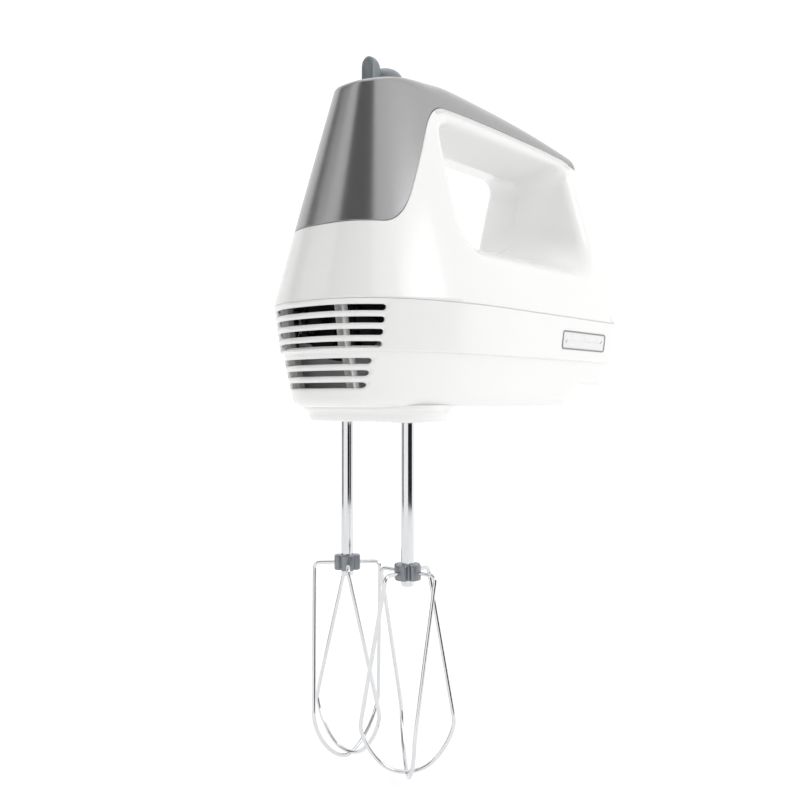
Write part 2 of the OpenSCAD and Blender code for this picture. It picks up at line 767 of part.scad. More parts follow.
module whisk_loop(hand, turn, rise) {
    half = half_loop(hand, rise);
    m = len(half);
    far = [for (p = half) on_plan(p, turn)];
    near = [for (i = [m - 2:-1:0]) on_plan([half[i][0], half[i][1] + 180, half[i][2]], turn)];
    path = concat(far, near);
    turns = concat([for (p = half) p[1]], [for (i = [m - 2:-1:0]) half[i][1]]);
    n = len(path);
    loft([for (i = [0:n - 1])
        let (t = unit(path[min(i + 1, n - 1)] - path[max(i - 1, 0)]),
            side = [-sin(turn + turns[i]), cos(turn + turns[i]), 0],
            b = unit(side - t * (side * t)),
            c = cross(t, b))
        [for (k = [0:7]) path[i] + wire_d / 2 * (cos(-45 * k) * b + sin(-45 * k) * c)]]);
}
module whisk(s, hand, turn) {
    color("silver") translate([0, s * gap_y, 0]) {
        whisk_loop(hand, turn, wire_d + 0.25);
        whisk_loop(hand, turn + 90, 0);
    }
}

// ---------- controls ----------

module control_frame() {
    color("dimgray") difference() {
        block(-15, open_x0 - wall - 0.9, -9, 9, frame_z, frame_z + frame_t);
        translate([rod_x, 0, frame_z - 1]) cylinder(h = frame_t + 2, d = rod_d + 2 * fit);
        for (s = [-1, 1]) translate([12, frame_screw_y * s, frame_z - 1])
            cylinder(h = frame_t + 2, d = 2.2);
    }
}
module control_frame_screws() {
    color("silver") for (s = [-1, 1]) translate([12, frame_screw_y * s, frame_z + frame_t])
        rotate([180, 0, 0]) screw(7, 2, 3.6);
}
module speed_switch() {
    color("darkslategray") {
        block(-14.5, -1, -7, 7, frame_z + frame_t, frame_z + frame_t + 11);
        block(-10, -5, -2, 2, frame_z + frame_t + 11, frame_z + frame_t + 13);
    }
}
module ejector_spring() {
    color("silver") translate([rod_x, 0, frame_z + frame_t])
        spring(rod_top - 8 - frame_z - frame_t, rod_d + 2.6, 0.9, 6);
}
// Yoke with the two ejector pins, and the push rod with its collar
module ejector_yoke() {
    color("ivory") difference() {
        union() {
            block(-4, 4, -gap_y - 3, gap_y + 3, yoke_z, yoke_z + yoke_h);
            block(0, rod_x + 4, -4, 4, yoke_z, yoke_z + yoke_h);
            for (s = [-1, 1]) translate([0, s * gap_y, stem_top + slip])
                cylinder(h = yoke_z + 1 - stem_top - slip, d = pin_d);
            translate([rod_x, 0, yoke_z]) cylinder(h = rod_top - yoke_z, d = rod_d);
            translate([rod_x, 0, rod_top - 8]) cylinder(h = 2, d = rod_d + 4);
        }
        translate([rod_x, 0, rod_top - 13]) cylinder(h = 14, d = 6 + 2 * fit);
    }
}
module speed_lever() {
    r = lever_hub_d / 2;
    color("slategray") difference() {
        union() {
            translate([rod_x, 0, rod_top - 12.5]) cylinder(h = 14, d = 6);
            translate([rod_x, 0, rod_top + slip]) cylinder(h = body_h - 3.3 - rod_top, d = lever_hub_d);
            translate([rod_x, 0, 0]) intersection() {
                translate([0, 0, lever_top - r - 0.2]) sphere(r = r + 0.2);
                translate([0, 0, body_h - 3.5]) cylinder(h = 12, r = r);
            }
            block(-6.4, rod_x, -3.5, 3.5, crest(-6.4) - 2, tab_top - 7);
            translate([-6.4, 0, tab_top - 3.5]) rotate([0, 90, 0]) cylinder(h = 4.7, d = 7);
            block(-6.4, -1.7, -3.5, 3.5, tab_top - 8, tab_top - 3.5);
        }
        translate([-12.6, 0, tab_top - 5.5]) sphere(r = 6.9);
    }
}
module boost_button() {
    color("slategray") translate([boost_x, 0, 0]) {
        translate([0, 0, flange_z]) cylinder(h = 2.4, d = boost_d + 3);
        translate([0, 0, flange_z + 1.9]) cylinder(h = wall + 2.4, d = boost_d);
        translate([0, 0, crest(boost_x) + 0.9]) cylinder(h = 0.7, d1 = boost_d, d2 = boost_d - 1.4);
        translate([0, 0, board_z + 4 + boost_travel]) cylinder(h = 6, d = 4);
    }
}
module boost_switch() {
    color("darkslategray") block(boost_x - 6.5, boost_x + 6.5, -6, 6, board_z - 1, board_z + 3.4);
}
module boost_spring() {
    z0 = board_z + 3.4;
    color("silver") translate([boost_x, 0, z0])
        spring(flange_z - z0, 8, 0.6, 4);
}
module circuit_board() {
    color("darkgreen") difference() {
        block(42, 100, -10, 10, board_z, board_z + 1.6);
        for (x = [48, 92]) translate([x, 0, board_z - 1]) cylinder(h = 4, d = 2.2);
    }
}
module board_components() {
    z = board_z + 1.6;
    color("black") {
        block(55, 66, -8, -1, z, z + 5);
        block(55, 63, 2, 8, z, z + 3.4);
        for (x = [70, 76, 82]) translate([x, 3.5, z]) cylinder(h = 4.6, d = 4.6);
        for (x = [71, 78]) block(x, x + 5, -7, -4, z, z + 2.2);
    }
}
module board_screws() {
    color("silver") for (x = [48, 92]) translate([x, 0, board_z + 1.6])
        rotate([180, 0, 0]) screw(6, 2, 3.8);
}

// ---------- mains inlet ----------

module cord_gland() {
    color("dimgray") translate([rear_x - 18, 0, notch_z]) difference() {
        union() {
            cylinder(h = 10, d = 12);
            translate([0, 0, floor_t]) cylinder(h = 1.6, d = 16);
        }
        translate([0, 0, -1]) cylinder(h = 12, d = 7.2);
    }
}
module cord_clamp() {
    color("dimgray") difference() {
        block(rear_x - 31, rear_x - 25, -10, 10, notch_z + 11, notch_z + 14);
        at_pair([rear_x - 28, 7]) translate([0, 0, notch_z + 10]) cylinder(h = 5, d = 2.4);
    }
}
module clamp_screws() {
    color("silver") at_pair([rear_x - 28, 7]) translate([0, 0, notch_z + 14])
        rotate([180, 0, 0]) screw(9, 2.2, 4);
}
module housing_screws() {
    color("silver") at_housing_screws() translate([0, 0, seat_z]) screw(screw_l);
}

upper_housing();
lower_housing();
handle_cover();
badge_plate();
gear_case();
gear_cover();
gear_case_screws();
gear_cover_screws();
spindle_bushes();
front_bearing();
rear_bearing();
motor_stator();
field_coils();
motor_spacers();
motor_screws();
rear_bracket();
brush_holders();
carbon_brushes();
brush_springs();
control_frame();
control_frame_screws();
speed_switch();
ejector_spring();
boost_switch();
boost_spring();
circuit_board();
board_components();
board_screws();
cord_gland();
cord_clamp();
clamp_screws();
housing_screws();
ejector_yoke();
speed_lever();
boost_button();
armature_shaft();
armature_core();
armature_windings();
commutator();
cooling_fan();
spindle(-1);  // spindle_near
spindle(1);  // spindle_far
wheel(-1, 90);  // worm_wheel_near
wheel(1, -90 + 180 / wheel_teeth);  // worm_wheel_far
beater_stem(-1);  // beater_near_stem
beater_collar(-1, 0);  // beater_near_collar
whisk(-1, -1, 0);  // beater_near_whisk
beater_stem(1);  // beater_far_stem
beater_collar(1, 45);  // beater_far_collar
whisk(1, 1, 45);  // beater_far_whisk
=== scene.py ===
"""Hand mixer: the finished surfaces, materials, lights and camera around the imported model.

Lengths inside this file are millimetres unless a name says otherwise; they turn into
metres only where a mesh, a light or the camera is made.
"""

import json
import math

import bmesh
import bpy
import numpy as np
from bpy.props import FloatProperty, FloatVectorProperty
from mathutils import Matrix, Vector


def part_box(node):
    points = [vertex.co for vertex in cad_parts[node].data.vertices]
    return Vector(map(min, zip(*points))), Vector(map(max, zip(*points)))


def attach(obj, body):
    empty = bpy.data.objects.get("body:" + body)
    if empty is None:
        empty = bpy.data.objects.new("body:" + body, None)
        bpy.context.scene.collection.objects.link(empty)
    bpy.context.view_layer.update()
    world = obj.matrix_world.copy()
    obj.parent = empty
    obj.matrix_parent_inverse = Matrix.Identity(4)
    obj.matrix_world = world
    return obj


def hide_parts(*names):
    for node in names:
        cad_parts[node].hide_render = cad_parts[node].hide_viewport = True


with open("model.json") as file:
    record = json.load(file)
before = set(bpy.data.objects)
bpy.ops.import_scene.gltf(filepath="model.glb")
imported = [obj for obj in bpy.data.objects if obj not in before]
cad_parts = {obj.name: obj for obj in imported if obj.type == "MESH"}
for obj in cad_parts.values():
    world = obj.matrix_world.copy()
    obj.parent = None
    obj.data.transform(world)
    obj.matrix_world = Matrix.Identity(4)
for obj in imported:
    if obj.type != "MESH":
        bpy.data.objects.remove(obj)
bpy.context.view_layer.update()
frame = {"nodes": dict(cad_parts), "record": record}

bl_info = {
    "name": "Hand Mixer",
    "version": (1, 0, 0),
    "blender": (4, 5, 0),
    "location": "3D View > Sidebar > Mixer",
    "description": "Builds a hand mixer's housings, controls, beaters, materials and studio",
    "category": "Object",
}

MM = 0.001


def node_box(name):
    """Lowest and highest corner of a CAD node, in millimetres."""
    low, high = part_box(name)
    return np.array(low) / MM, np.array(high) / MM


UPPER_LOW, UPPER_HIGH = node_box("upper_housing")
LOWER_LOW, _ = node_box("lower_housing")
COVER_LOW, COVER_HIGH = node_box("handle_cover")
LEVER_LOW, LEVER_HIGH = node_box("speed_lever")
BOOST_LOW, BOOST_HIGH = node_box("boost_button")
BADGE_LOW, BADGE_HIGH = node_box("badge_plate")
NEAR_STEM_LOW, NEAR_STEM_HIGH = node_box("beater_near_stem")
FAR_STEM_LOW, FAR_STEM_HIGH = node_box("beater_far_stem")
NEAR_COLLAR_LOW, NEAR_COLLAR_HIGH = node_box("beater_near_collar")
WHISK_LOW, _ = node_box("beater_near_whisk")


def linear(hex_colour, alpha=1.0):
    """An sRGB hex colour such as 'f2f2f0' as linear red, green, blue and alpha."""
    srgb = [int(hex_colour[i : i + 2], 16) / 255 for i in (0, 2, 4)]
    return [c / 12.92 if c <= 0.04045 else ((c + 0.055) / 1.055) ** 2.4 for c in srgb] + [alpha]


# ---------------------------------------------------------------- sizes a user may change


def millimetres(name, about, value):
    """A property that holds a length in millimetres."""
    return FloatProperty(name=name, description=about, default=float(value), min=0.0)


def colour(name, about, hex_colour):
    """A property that holds a linear colour, given as sRGB hex."""
    return FloatVectorProperty(name=name, description=about, subtype="COLOR", size=4, min=0, max=1,
                               default=linear(hex_colour))


class HousingSizes(bpy.types.PropertyGroup):
    """Sizes of the moulded housings."""

    wall: millimetres("Wall", "Thickness of the moulded wall", 2.4)
    handle_width: millimetres("Handle width", "Width of the handle at its seam", 46)
    top_round: millimetres("Top round", "Radius of the edge along the top of the handle", 11)
    front_round: millimetres("Front round", "Radius of the edge over the nose", 1.9)
    rim_round: millimetres("Rim round", "Reach of the soft edge round the finger opening", 5)
    belly_round: millimetres("Belly round", "Radius of the bottom edge", 4)
    seam_gap: millimetres("Seam gap", "How far each moulding stops short of a seam", 0.16)
    slot_height: millimetres("Slot height", "Height of one vent slot", 2.5)
    slot_pitch: millimetres("Slot pitch", "Distance from vent slot to vent slot", 4.87)
    slot_run: millimetres("Slot run", "How far the vent slots reach back from the nose", 14.6)


class BeaterSizes(bpy.types.PropertyGroup):
    """Sizes of the two whisk beaters."""

    wire: millimetres("Wire", "Diameter of the whisk wire", 1.75)
    arm_radius: millimetres("Arm radius", "Radius where a leg leaves its arm", 15)
    bend: millimetres("Bend", "Radius of the bend between arm and leg", 2.5)
    corner_radius: millimetres("Corner radius", "Largest radius of the whisk", 20.6)
    corner_rise: millimetres("Corner rise", "Height of the widest corner over the tip", 24.3)
    leg_turn: FloatProperty(
        name="Leg turn", description="Turn of a leg from arm to corner, in degrees", default=42.5
    )


class Finishes(bpy.types.PropertyGroup):
    """Colours of the finishes."""

    white: colour("White", "Moulded white ABS", "eeeeed")
    cover: colour("Cover", "Metallic grey lacquer", "9e9e9f")
    control: colour("Control", "Satin grey ABS of the lever and the button", "7b8286")


class StudioSettings(bpy.types.PropertyGroup):
    """Light of the studio."""

    key: FloatProperty(name="Key", description="Power of the key softbox in watts", default=7.0)
    top: FloatProperty(name="Top", description="Power of the top softbox in watts", default=2.0)
    sky: FloatProperty(name="Sky", description="Strength of the white surroundings", default=1.05)


def sizes(group):
    """The property group of that name on the scene."""
    return getattr(bpy.context.scene, "mixer_" + group)


# ---------------------------------------------------------------- the body's form

NOSE_CX = 40.0
TAIL_R = 7.0
NOSE_TIP = LOWER_LOW[0]
REAR_X = UPPER_HIGH[0]
SIDE_Y = UPPER_HIGH[1]
NOSE_A = NOSE_CX - NOSE_TIP
PARTING_Z = UPPER_LOW[2]
CREST_Z = COVER_HIGH[2]
PANEL_Z = COVER_LOW[2]
SEAM_Z = CREST_Z - 15.0
GRIP_Z = CREST_Z - 27.0
DECK_Z = PANEL_Z + 4.0
FOOT_Z = 6.3
STEP_Z = 29.0
NOTCH_Z = FOOT_Z + 10.8
NOTCH_X0 = REAR_X - 46.3
NOTCH_X1 = REAR_X - 36.0
CREST_X, CREST_FALL, NOSE_FALL = 30.0, 11.6, 17.2
SEAM_X, SEAM_FALL = 55.0, 5.1
OPEN_X0, OPEN_X1 = 17.0, REAR_X - 26.0
OPEN_SIDE, OPEN_FLOOR_FALL, OPEN_ROOF_RISE = 42.0, 13.0, 12.0
OPEN_FRONT_FLARE, OPEN_REAR_FLARE = 4.0, 16.0
BAND_RATE, BELLY_RATE, STEP_IN = 0.12, 0.2, 1.3
BODY_CENTRE = np.array([50.0, 0.0, 70.0])


def draft():
    """Inward lean of the upper housing's walls, in millimetres per millimetre of height."""
    return (SIDE_Y - sizes("housing").handle_width / 2) / (SEAM_Z - PARTING_Z)


def exponent(z):
    """Exponent of the plan's superellipse, a little squarer towards the top."""
    return 2.55 + 0.45 * np.clip((z - PARTING_Z) / (CREST_Z - PARTING_Z), 0, 1)


def upper_inset(z):
    """Inset of the upper walls: a straight draft."""
    return draft() * (z - PARTING_Z)


def smooth(t):
    """Smoothstep of t held between 0 and 1."""
    t = np.clip(t, 0, 1)
    return t * t * (3 - 2 * t)


def lower_inset(z):
    """Inset of the lower walls: a drafted band, a small rounded step, then a steeper belly."""
    band = BAND_RATE * (PARTING_Z - np.maximum(z, STEP_Z))
    belly = BELLY_RATE * np.maximum(STEP_Z - z, 0)
    return band + belly + STEP_IN * smooth((STEP_Z + 0.35 - z) / 0.9)


def nose_angle(x, z, inset):
    """Superellipse angle whose point on the outline has the given x."""
    ratio = np.clip((NOSE_CX - x) / (NOSE_A - inset), 0, 1)
    return np.arccos(ratio ** (exponent(z) / 2))


def outline(angle, side, corner, back, z, inset, rear):
    """Plan outline as x and half width: a superellipse up to angle, then the straight side, the
    tail's quarter round and the rear plane, each run from 0 to 1."""
    power = 2 / exponent(z)
    g = corner * math.pi / 2
    x = NOSE_CX - (NOSE_A - inset) * np.clip(np.cos(angle), 0, 1) ** power
    x = x + side * (rear - TAIL_R - NOSE_CX) + TAIL_R * np.sin(g)
    y = (SIDE_Y - inset) * np.clip(np.sin(angle), 0, 1) ** power - TAIL_R * (1 - np.cos(g))
    return x, y * (1 - back)


def half_width(x, z):
    """Half width of the upper housing ahead of the tail's corner."""
    inset, n = upper_inset(z), exponent(z)
    ratio = np.clip((NOSE_CX - x) / (NOSE_A - inset), 0, 1)
    return (SIDE_Y - inset) * (1 - ratio**n) ** (1 / n)


def crest(x):
    """Height of the top's centre line: it peaks near the front of the handle."""
    front = NOSE_FALL * np.clip((CREST_X - x) / (CREST_X - NOSE_TIP), 0, None) ** 1.5
    back = CREST_FALL * np.clip((x - CREST_X) / (REAR_X - CREST_X), 0, None) ** 1.8
    return CREST_Z - front - back


def handle_seam(x):
    """Height of the seam along the handle."""
    return SEAM_Z - SEAM_FALL * np.abs((x - SEAM_X) / (REAR_X - SEAM_X)) ** 2.4


def bezier(a, b, c, t):
    """Quadratic Bezier from a to c with control b; t is the last axis."""
    a, b, c = (p[..., None, :] for p in (a, b, c))
    t = t[:, None]
    return a * (1 - t) ** 2 + 2 * b * t * (1 - t) + c * t**2


def cover_edge_curve():
    """Lower edge of the grey cover in side view: level, a round, a steep rise, a round, the
    handle seam."""
    t = np.linspace(0, 1, 24)
    slope_low, slope_high = np.array([-10.3, PANEL_Z + 15.7]), np.array([4.6, SEAM_Z - 13.0])
    run = (slope_high - slope_low) / (slope_high[1] - slope_low[1])
    low_control = slope_low + run * (PANEL_Z - slope_low[1])
    seam_start = np.array([20.0, handle_seam(20.0)])
    high_control = slope_high + run * (seam_start[1] - slope_high[1])
    low = bezier(np.array([-25.5, PANEL_Z]), low_control, slope_low, t)
    high = bezier(slope_high, high_control, seam_start, t)
    x = np.linspace(21, REAR_X + 5, 60)
    line = np.stack([x, handle_seam(x)], axis=1)
    return np.concatenate([[[NOSE_TIP - 20, PANEL_Z]], low, high, line])


COVER_EDGE = cover_edge_curve()


def cover_edge(x):
    """Height of the cover's lower edge at x."""
    return np.interp(x, COVER_EDGE[:, 0], COVER_EDGE[:, 1])


def seam_height(columns):
    """Height at which each upper column meets the cover's edge, by bisection."""
    low = np.full(len(columns[0]), PARTING_Z)
    high = np.full(len(columns[0]), CREST_Z)
    for _ in range(40):
        mid = (low + high) / 2
        x, _ = upper_column(columns, mid)
        below = mid < cover_edge(x)
        low, high = np.where(below, mid, low), np.where(below, high, mid)
    return (low + high) / 2


def upper_column(columns, z):
    """x and half width of upper columns at heights z. Each column is a share of the nose up to
    x_end, then a share of the straight side, the corner and the rear."""
    share, side, corner, back, x_end = columns
    inset = upper_inset(z)
    angle = share * nose_angle(x_end, z, inset)
    return outline(angle, side, corner, back, z, inset, REAR_X)


def column_set(nose=0, side=0, corner=0, back=0, x_end=NOSE_CX, side_from=0.0):
    """Shares that walk the outline: nose, straight side, corner and rear, with so many steps
    each. A stretch with no steps is left out."""
    rows = []
    if nose:
        s = np.linspace(0, 1, nose + 1)
        rows.append(np.stack([s, 0 * s, 0 * s, 0 * s]))
    if side:
        s = np.linspace(side_from, 1, side + 1)[1 if nose else 0 :]
        rows.append(np.stack([1 + 0 * s, s, 0 * s, 0 * s]))
    if corner:
        s = np.linspace(0, 1, corner + 1)[1:]
        rows.append(np.stack([1 + 0 * s, 1 + 0 * s, s, 0 * s]))
    if back:
        s = np.linspace(0, 1, back + 1)[1:]
        rows.append(np.stack([1 + 0 * s, 1 + 0 * s, 1 + 0 * s, s]))
    shares = np.concatenate(rows, axis=1)
    return [*shares, np.full(shares.shape[1], x_end)]


# ---------------------------------------------------------------- meshes


def faces_of(nu, nv, keep=None):
    """Quads over a grid of nu by nv points, as rows of four indices."""
    i, j = np.meshgrid(np.arange(nu - 1), np.arange(nv - 1), indexing="ij")
    a = i * nv + j
    quads = np.stack([a, a + nv, a + nv + 1, a + 1], axis=-1)
    return quads[keep] if keep is not None else quads.reshape(-1, 4)


def both_sides(grid):
    """A half grid with its first column on the centre line, and its mirror image."""
    mirror = grid * np.array([1, -1, 1])
    return np.concatenate([mirror[:0:-1], grid])


def make_mesh(name, grids, merge=0.004, face_point=None, angle=40):
    """One object from grids of points in millimetres: doubles merged, faces turned outwards,
    smooth with sharp edges past the angle. A grid may come with a mask of the faces kept."""
    verts, faces, start = [], [], 0
    for grid in grids:
        points, keep = grid if isinstance(grid, tuple) else (grid, None)
        nu, nv = points.shape[:2]
        verts.append(points.reshape(-1, 3))
        faces.append(faces_of(nu, nv, keep) + start)
        start += nu * nv
    mesh = bpy.data.meshes.new(name)
    mesh.from_pydata((np.concatenate(verts) * MM).tolist(), [], np.concatenate(faces).tolist())
    work = bmesh.new()
    work.from_mesh(mesh)
    bmesh.ops.remove_doubles(work, verts=work.verts, dist=merge * MM)
    bmesh.ops.dissolve_degenerate(work, edges=work.edges, dist=1e-7)
    bmesh.ops.recalc_face_normals(work, faces=work.faces)
    if face_point is not None:
        turn_towards(work, np.array(face_point) * MM)
    work.to_mesh(mesh)
    work.free()
    mesh.polygons.foreach_set("use_smooth", np.ones(len(mesh.polygons), bool))
    mesh.set_sharp_from_angle(angle=math.radians(angle))
    piece = bpy.data.objects.new(name, mesh)
    bpy.context.scene.collection.objects.link(piece)
    return piece


def turn_towards(work, inside):
    """Reverses all faces if most of them face the given inner point."""
    inside = Vector(inside)
    total = sum(f.normal.dot(f.calc_center_median() - inside) * f.calc_area() for f in work.faces)
    if total < 0:
        bmesh.ops.reverse_faces(work, faces=work.faces)


def thicken(piece, wall):
    """Gives an open skin its moulded wall, inwards."""
    solid = piece.modifiers.new("wall", "SOLIDIFY")
    solid.thickness = wall * MM
    solid.offset = -1
    solid.use_even_offset = False
    return piece


def place(piece, body, slot, *nodes, material=None):
    """Rides the piece on its body, gives it that slot's finish or its own, and says which nodes it
    replaces."""
    piece.data.materials.clear()
    piece.data.materials.append(material or finish(slot))
    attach(piece, body)
    if nodes:
        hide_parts(*nodes)
    return piece


def unit(v):
    """Vectors scaled to length 1."""
    return v / np.maximum(np.linalg.norm(v, axis=-1, keepdims=True), 1e-9)


def grid_normals(grid, inside):
    """Normals of a grid by central differences, turned away from an inner point."""
    normal = unit(np.cross(np.gradient(grid, axis=0), np.gradient(grid, axis=1)))
    away = np.sum(normal * (grid - inside), axis=-1, keepdims=True)
    return normal * np.where(away < 0, -1, 1)


def lip(grid, inside=BODY_CENTRE):
    """The grid with its first row's edge pulled back from the seam and rolled inwards."""
    gap = sizes("housing").seam_gap
    along = unit(grid[:, 1] - grid[:, 0])
    normal = grid_normals(grid, inside)[:, 0]
    normal = unit(normal - along * np.sum(normal * along, axis=-1, keepdims=True))
    edge = grid[:, 0] + along * gap
    rows = [edge - normal * 0.5, edge + along * 0.02 - normal * 0.16, edge + along * 0.2]
    return np.concatenate([np.stack(rows, axis=1), grid[:, 1:]], axis=1)


def revolve(profile, steps=96, centre=(0, 0, 0)):
    """Surface of revolution about Z: profile rows of radius and height, swept by steps."""
    profile = np.array(profile, float)
    turn = np.linspace(0, 2 * math.pi, steps + 1)
    x = np.outer(np.cos(turn), profile[:, 0])
    y = np.outer(np.sin(turn), profile[:, 0])
    z = np.broadcast_to(profile[:, 1], x.shape)
    return np.stack([x, y, z], axis=-1) + np.array(centre)


def round_profile(points, radius, steps=5):
    """A polyline of radius and height with each inner corner rounded by a Bezier arc."""
    points = np.array(points, float)
    t = np.linspace(0, 1, steps + 1)
    out = [points[:1]]
    for before, here, after in zip(points[:-2], points[1:-1], points[2:]):
        shorter = min(np.linalg.norm(here - before), np.linalg.norm(after - here))
        reach = min(radius, shorter * 0.48)
        start = here + unit(before - here) * reach
        end = here + unit(after - here) * reach
        out.append(bezier(start, here, end, t))
    out.append(points[-1:])
    return np.concatenate(out)


def sweep(path, radius, sides=16):
    """Tube along a path: circles square to the path, turned as little as possible from ring to
    ring, closed by a flat end at each end."""
    path = np.array(path, float)
    tangent = unit(np.gradient(path, axis=0))
    normal = np.cross(tangent[0], [0.3, 0.2, 1.0])
    frames = []
    for t in tangent:
        normal = unit(normal - t * np.dot(normal, t))
        frames.append(normal)
    normal = np.array(frames)
    side = np.cross(tangent, normal)
    a = np.linspace(0, 2 * math.pi, sides + 1)
    ring = np.cos(a)[None, :, None] * normal[:, None] + np.sin(a)[None, :, None] * side[:, None]
    tube = path[:, None] + radius * ring
    ends = [np.repeat(path[k][None, None], sides + 1, axis=1) for k in (0, -1)]
    return np.concatenate([ends[0], tube, ends[1]])


# ---------------------------------------------------------------- materials


def add(tree, kind, at=(0, 0), **inputs):
    """Adds a node and sets or links its inputs by name. A link is a pair of a node and an
    output's name. An underscore in a name stands for a space."""
    made = tree.nodes.new(kind)
    made.location = at
    for key, value in inputs.items():
        socket = made.inputs[key.replace("_", " ")]
        if isinstance(value, tuple) and isinstance(value[0], bpy.types.Node):
            tree.links.new(value[0].outputs[value[1]], socket)
        else:
            socket.default_value = value
    return made


def start_material(name):
    """An empty node material with Object coordinates; finish_material adds its output."""
    material = bpy.data.materials.new(name)
    material.use_nodes = True
    tree = material.node_tree
    tree.nodes.clear()
    coordinates = add(tree, "ShaderNodeTexCoord", (-1100, 0))
    return material, tree, coordinates


def finish_material(tree, shader):
    """Links the shader to a new output."""
    output = add(tree, "ShaderNodeOutputMaterial", (500, 0))
    tree.links.new(shader.outputs[0], output.inputs["Surface"])


def grain_of(size_mm):
    """Noise scale that gives features of about that size."""
    return 1.0 / (size_mm * MM)


def lines_of(spacing_mm):
    """Wave scale that sets lines that far apart."""
    return math.pi / 10 / (spacing_mm * MM)


def roughness_map(tree, coordinates, size_mm, low, high):
    """Soft noise of that feature size, ranged from low to high, for roughness."""
    noise = add(tree, "ShaderNodeTexNoise", (-850, -200), Vector=(coordinates, "Object"),
                Scale=grain_of(size_mm), Detail=3.0)
    return add(tree, "ShaderNodeMapRange", (-600, -200), Value=(noise, "Fac"),
               To_Min=low, To_Max=high)


def fine_bump(tree, coordinates, size_mm, depth_mm, strength=0.3, detail=2.0):
    """Bump from noise of that feature size and depth."""
    noise = add(tree, "ShaderNodeTexNoise", (-850, -500), Vector=(coordinates, "Object"),
                Scale=grain_of(size_mm), Detail=detail)
    return add(tree, "ShaderNodeBump", (-400, -500), Height=(noise, "Fac"),
               Distance=depth_mm * MM, Strength=strength)


def white_moulded_abs():
    """Glossy white ABS from a polished mould: even, faintly warm, with soft clear highlights and
    the slightest orange peel."""
    material, tree, coordinates = start_material("white_moulded_abs")
    rough = roughness_map(tree, coordinates, 9.0, 0.2, 0.27)
    bump = fine_bump(tree, coordinates, 1.4, 0.02, 0.25)
    shader = add(tree, "ShaderNodeBsdfPrincipled", (100, 0), Roughness=(rough, "Result"),
                 Normal=(bump, "Normal"), IOR=1.54, Base_Color=sizes("finishes").white,
                 Coat_Weight=0.25, Coat_Roughness=0.08)
    finish_material(tree, shader)
    return material


def metallic_grey_lacquer():
    """Grey lacquer with fine aluminium flake under clear coat: a broad satin sheen with a
    sharper gloss on top. The 0.25 mm flake is drawn coarse enough to show."""
    material, tree, coordinates = start_material("metallic_grey_lacquer")
    flake = add(tree, "ShaderNodeTexVoronoi", (-850, 200), Vector=(coordinates, "Object"),
                Scale=grain_of(0.25))
    tone = add(tree, "ShaderNodeValToRGB", (-500, 250), Fac=(flake, "Color"))
    base = list(sizes("finishes").cover)
    tone.color_ramp.elements[0].color = [c * 0.92 for c in base[:3]] + [1]
    tone.color_ramp.elements[1].color = [min(1, c * 1.08) for c in base[:3]] + [1]
    rough = roughness_map(tree, coordinates, 6.0, 0.22, 0.27)
    bump = fine_bump(tree, coordinates, 1.2, 0.012, 0.2)
    shader = add(tree, "ShaderNodeBsdfPrincipled", (100, 0), Base_Color=(tone, "Color"),
                 Roughness=(rough, "Result"), Normal=(bump, "Normal"), Metallic=0.85,
                 Coat_Weight=0.15, Coat_Roughness=0.1)
    finish_material(tree, shader)
    return material


def moulded_plastic(name, colour_value, low, high, grain=0.5, depth=0.03, coat=0.0):
    """Moulded plastic with a fine spark-eroded texture: roughness between low and high."""
    material, tree, coordinates = start_material(name)
    noise = add(tree, "ShaderNodeTexNoise", (-850, 250), Vector=(coordinates, "Object"),
                Scale=grain_of(4.0), Detail=4.0)
    tone = add(tree, "ShaderNodeValToRGB", (-500, 250), Fac=(noise, "Fac"))
    tone.color_ramp.elements[0].color = [c * 0.93 for c in colour_value[:3]] + [1]
    tone.color_ramp.elements[1].color = [min(1, c * 1.05) for c in colour_value[:3]] + [1]
    rough = roughness_map(tree, coordinates, 3.0, low, high)
    bump = fine_bump(tree, coordinates, grain, depth, 0.4)
    shader = add(tree, "ShaderNodeBsdfPrincipled", (100, 0), Base_Color=(tone, "Color"),
                 Roughness=(rough, "Result"), Normal=(bump, "Normal"), IOR=1.5,
                 Coat_Weight=coat, Coat_Roughness=0.15)
    finish_material(tree, shader)
    return material


def metal(name, hex_colour, low, high, streak=(1, 1, 1), size_mm=0.6, depth=0.01):
    """Metal with its colour from the alloy and lines left by how it was worked. streak stretches
    the pattern along an axis."""
    material, tree, coordinates = start_material(name)
    stretched = add(tree, "ShaderNodeMapping", (-1000, -300), Vector=(coordinates, "Object"),
                    Scale=streak)
    noise = add(tree, "ShaderNodeTexNoise", (-800, -200), Vector=(stretched, "Vector"),
                Scale=grain_of(size_mm), Detail=4.0)
    rough = add(tree, "ShaderNodeMapRange", (-550, -200), Value=(noise, "Fac"),
                To_Min=low, To_Max=high)
    tone = add(tree, "ShaderNodeValToRGB", (-500, 250), Fac=(noise, "Fac"))
    base = linear(hex_colour)
    tone.color_ramp.elements[0].color = [c * 0.9 for c in base[:3]] + [1]
    tone.color_ramp.elements[1].color = [min(1, c * 1.06) for c in base[:3]] + [1]
    bump = add(tree, "ShaderNodeBump", (-300, -450), Height=(noise, "Fac"), Distance=depth * MM,
               Strength=0.3)
    shader = add(tree, "ShaderNodeBsdfPrincipled", (100, 0), Base_Color=(tone, "Color"),
                 Metallic=1.0, Roughness=(rough, "Result"), Normal=(bump, "Normal"))
    finish_material(tree, shader)
    return material


def bright_chrome():
    """Nickel-chrome plating over drawn wire: mirror bright with faint draw lines."""
    return metal("bright_chrome_plate", "dfe0e2", 0.05, 0.12, (1, 1, 0.08), 0.5, 0.004)


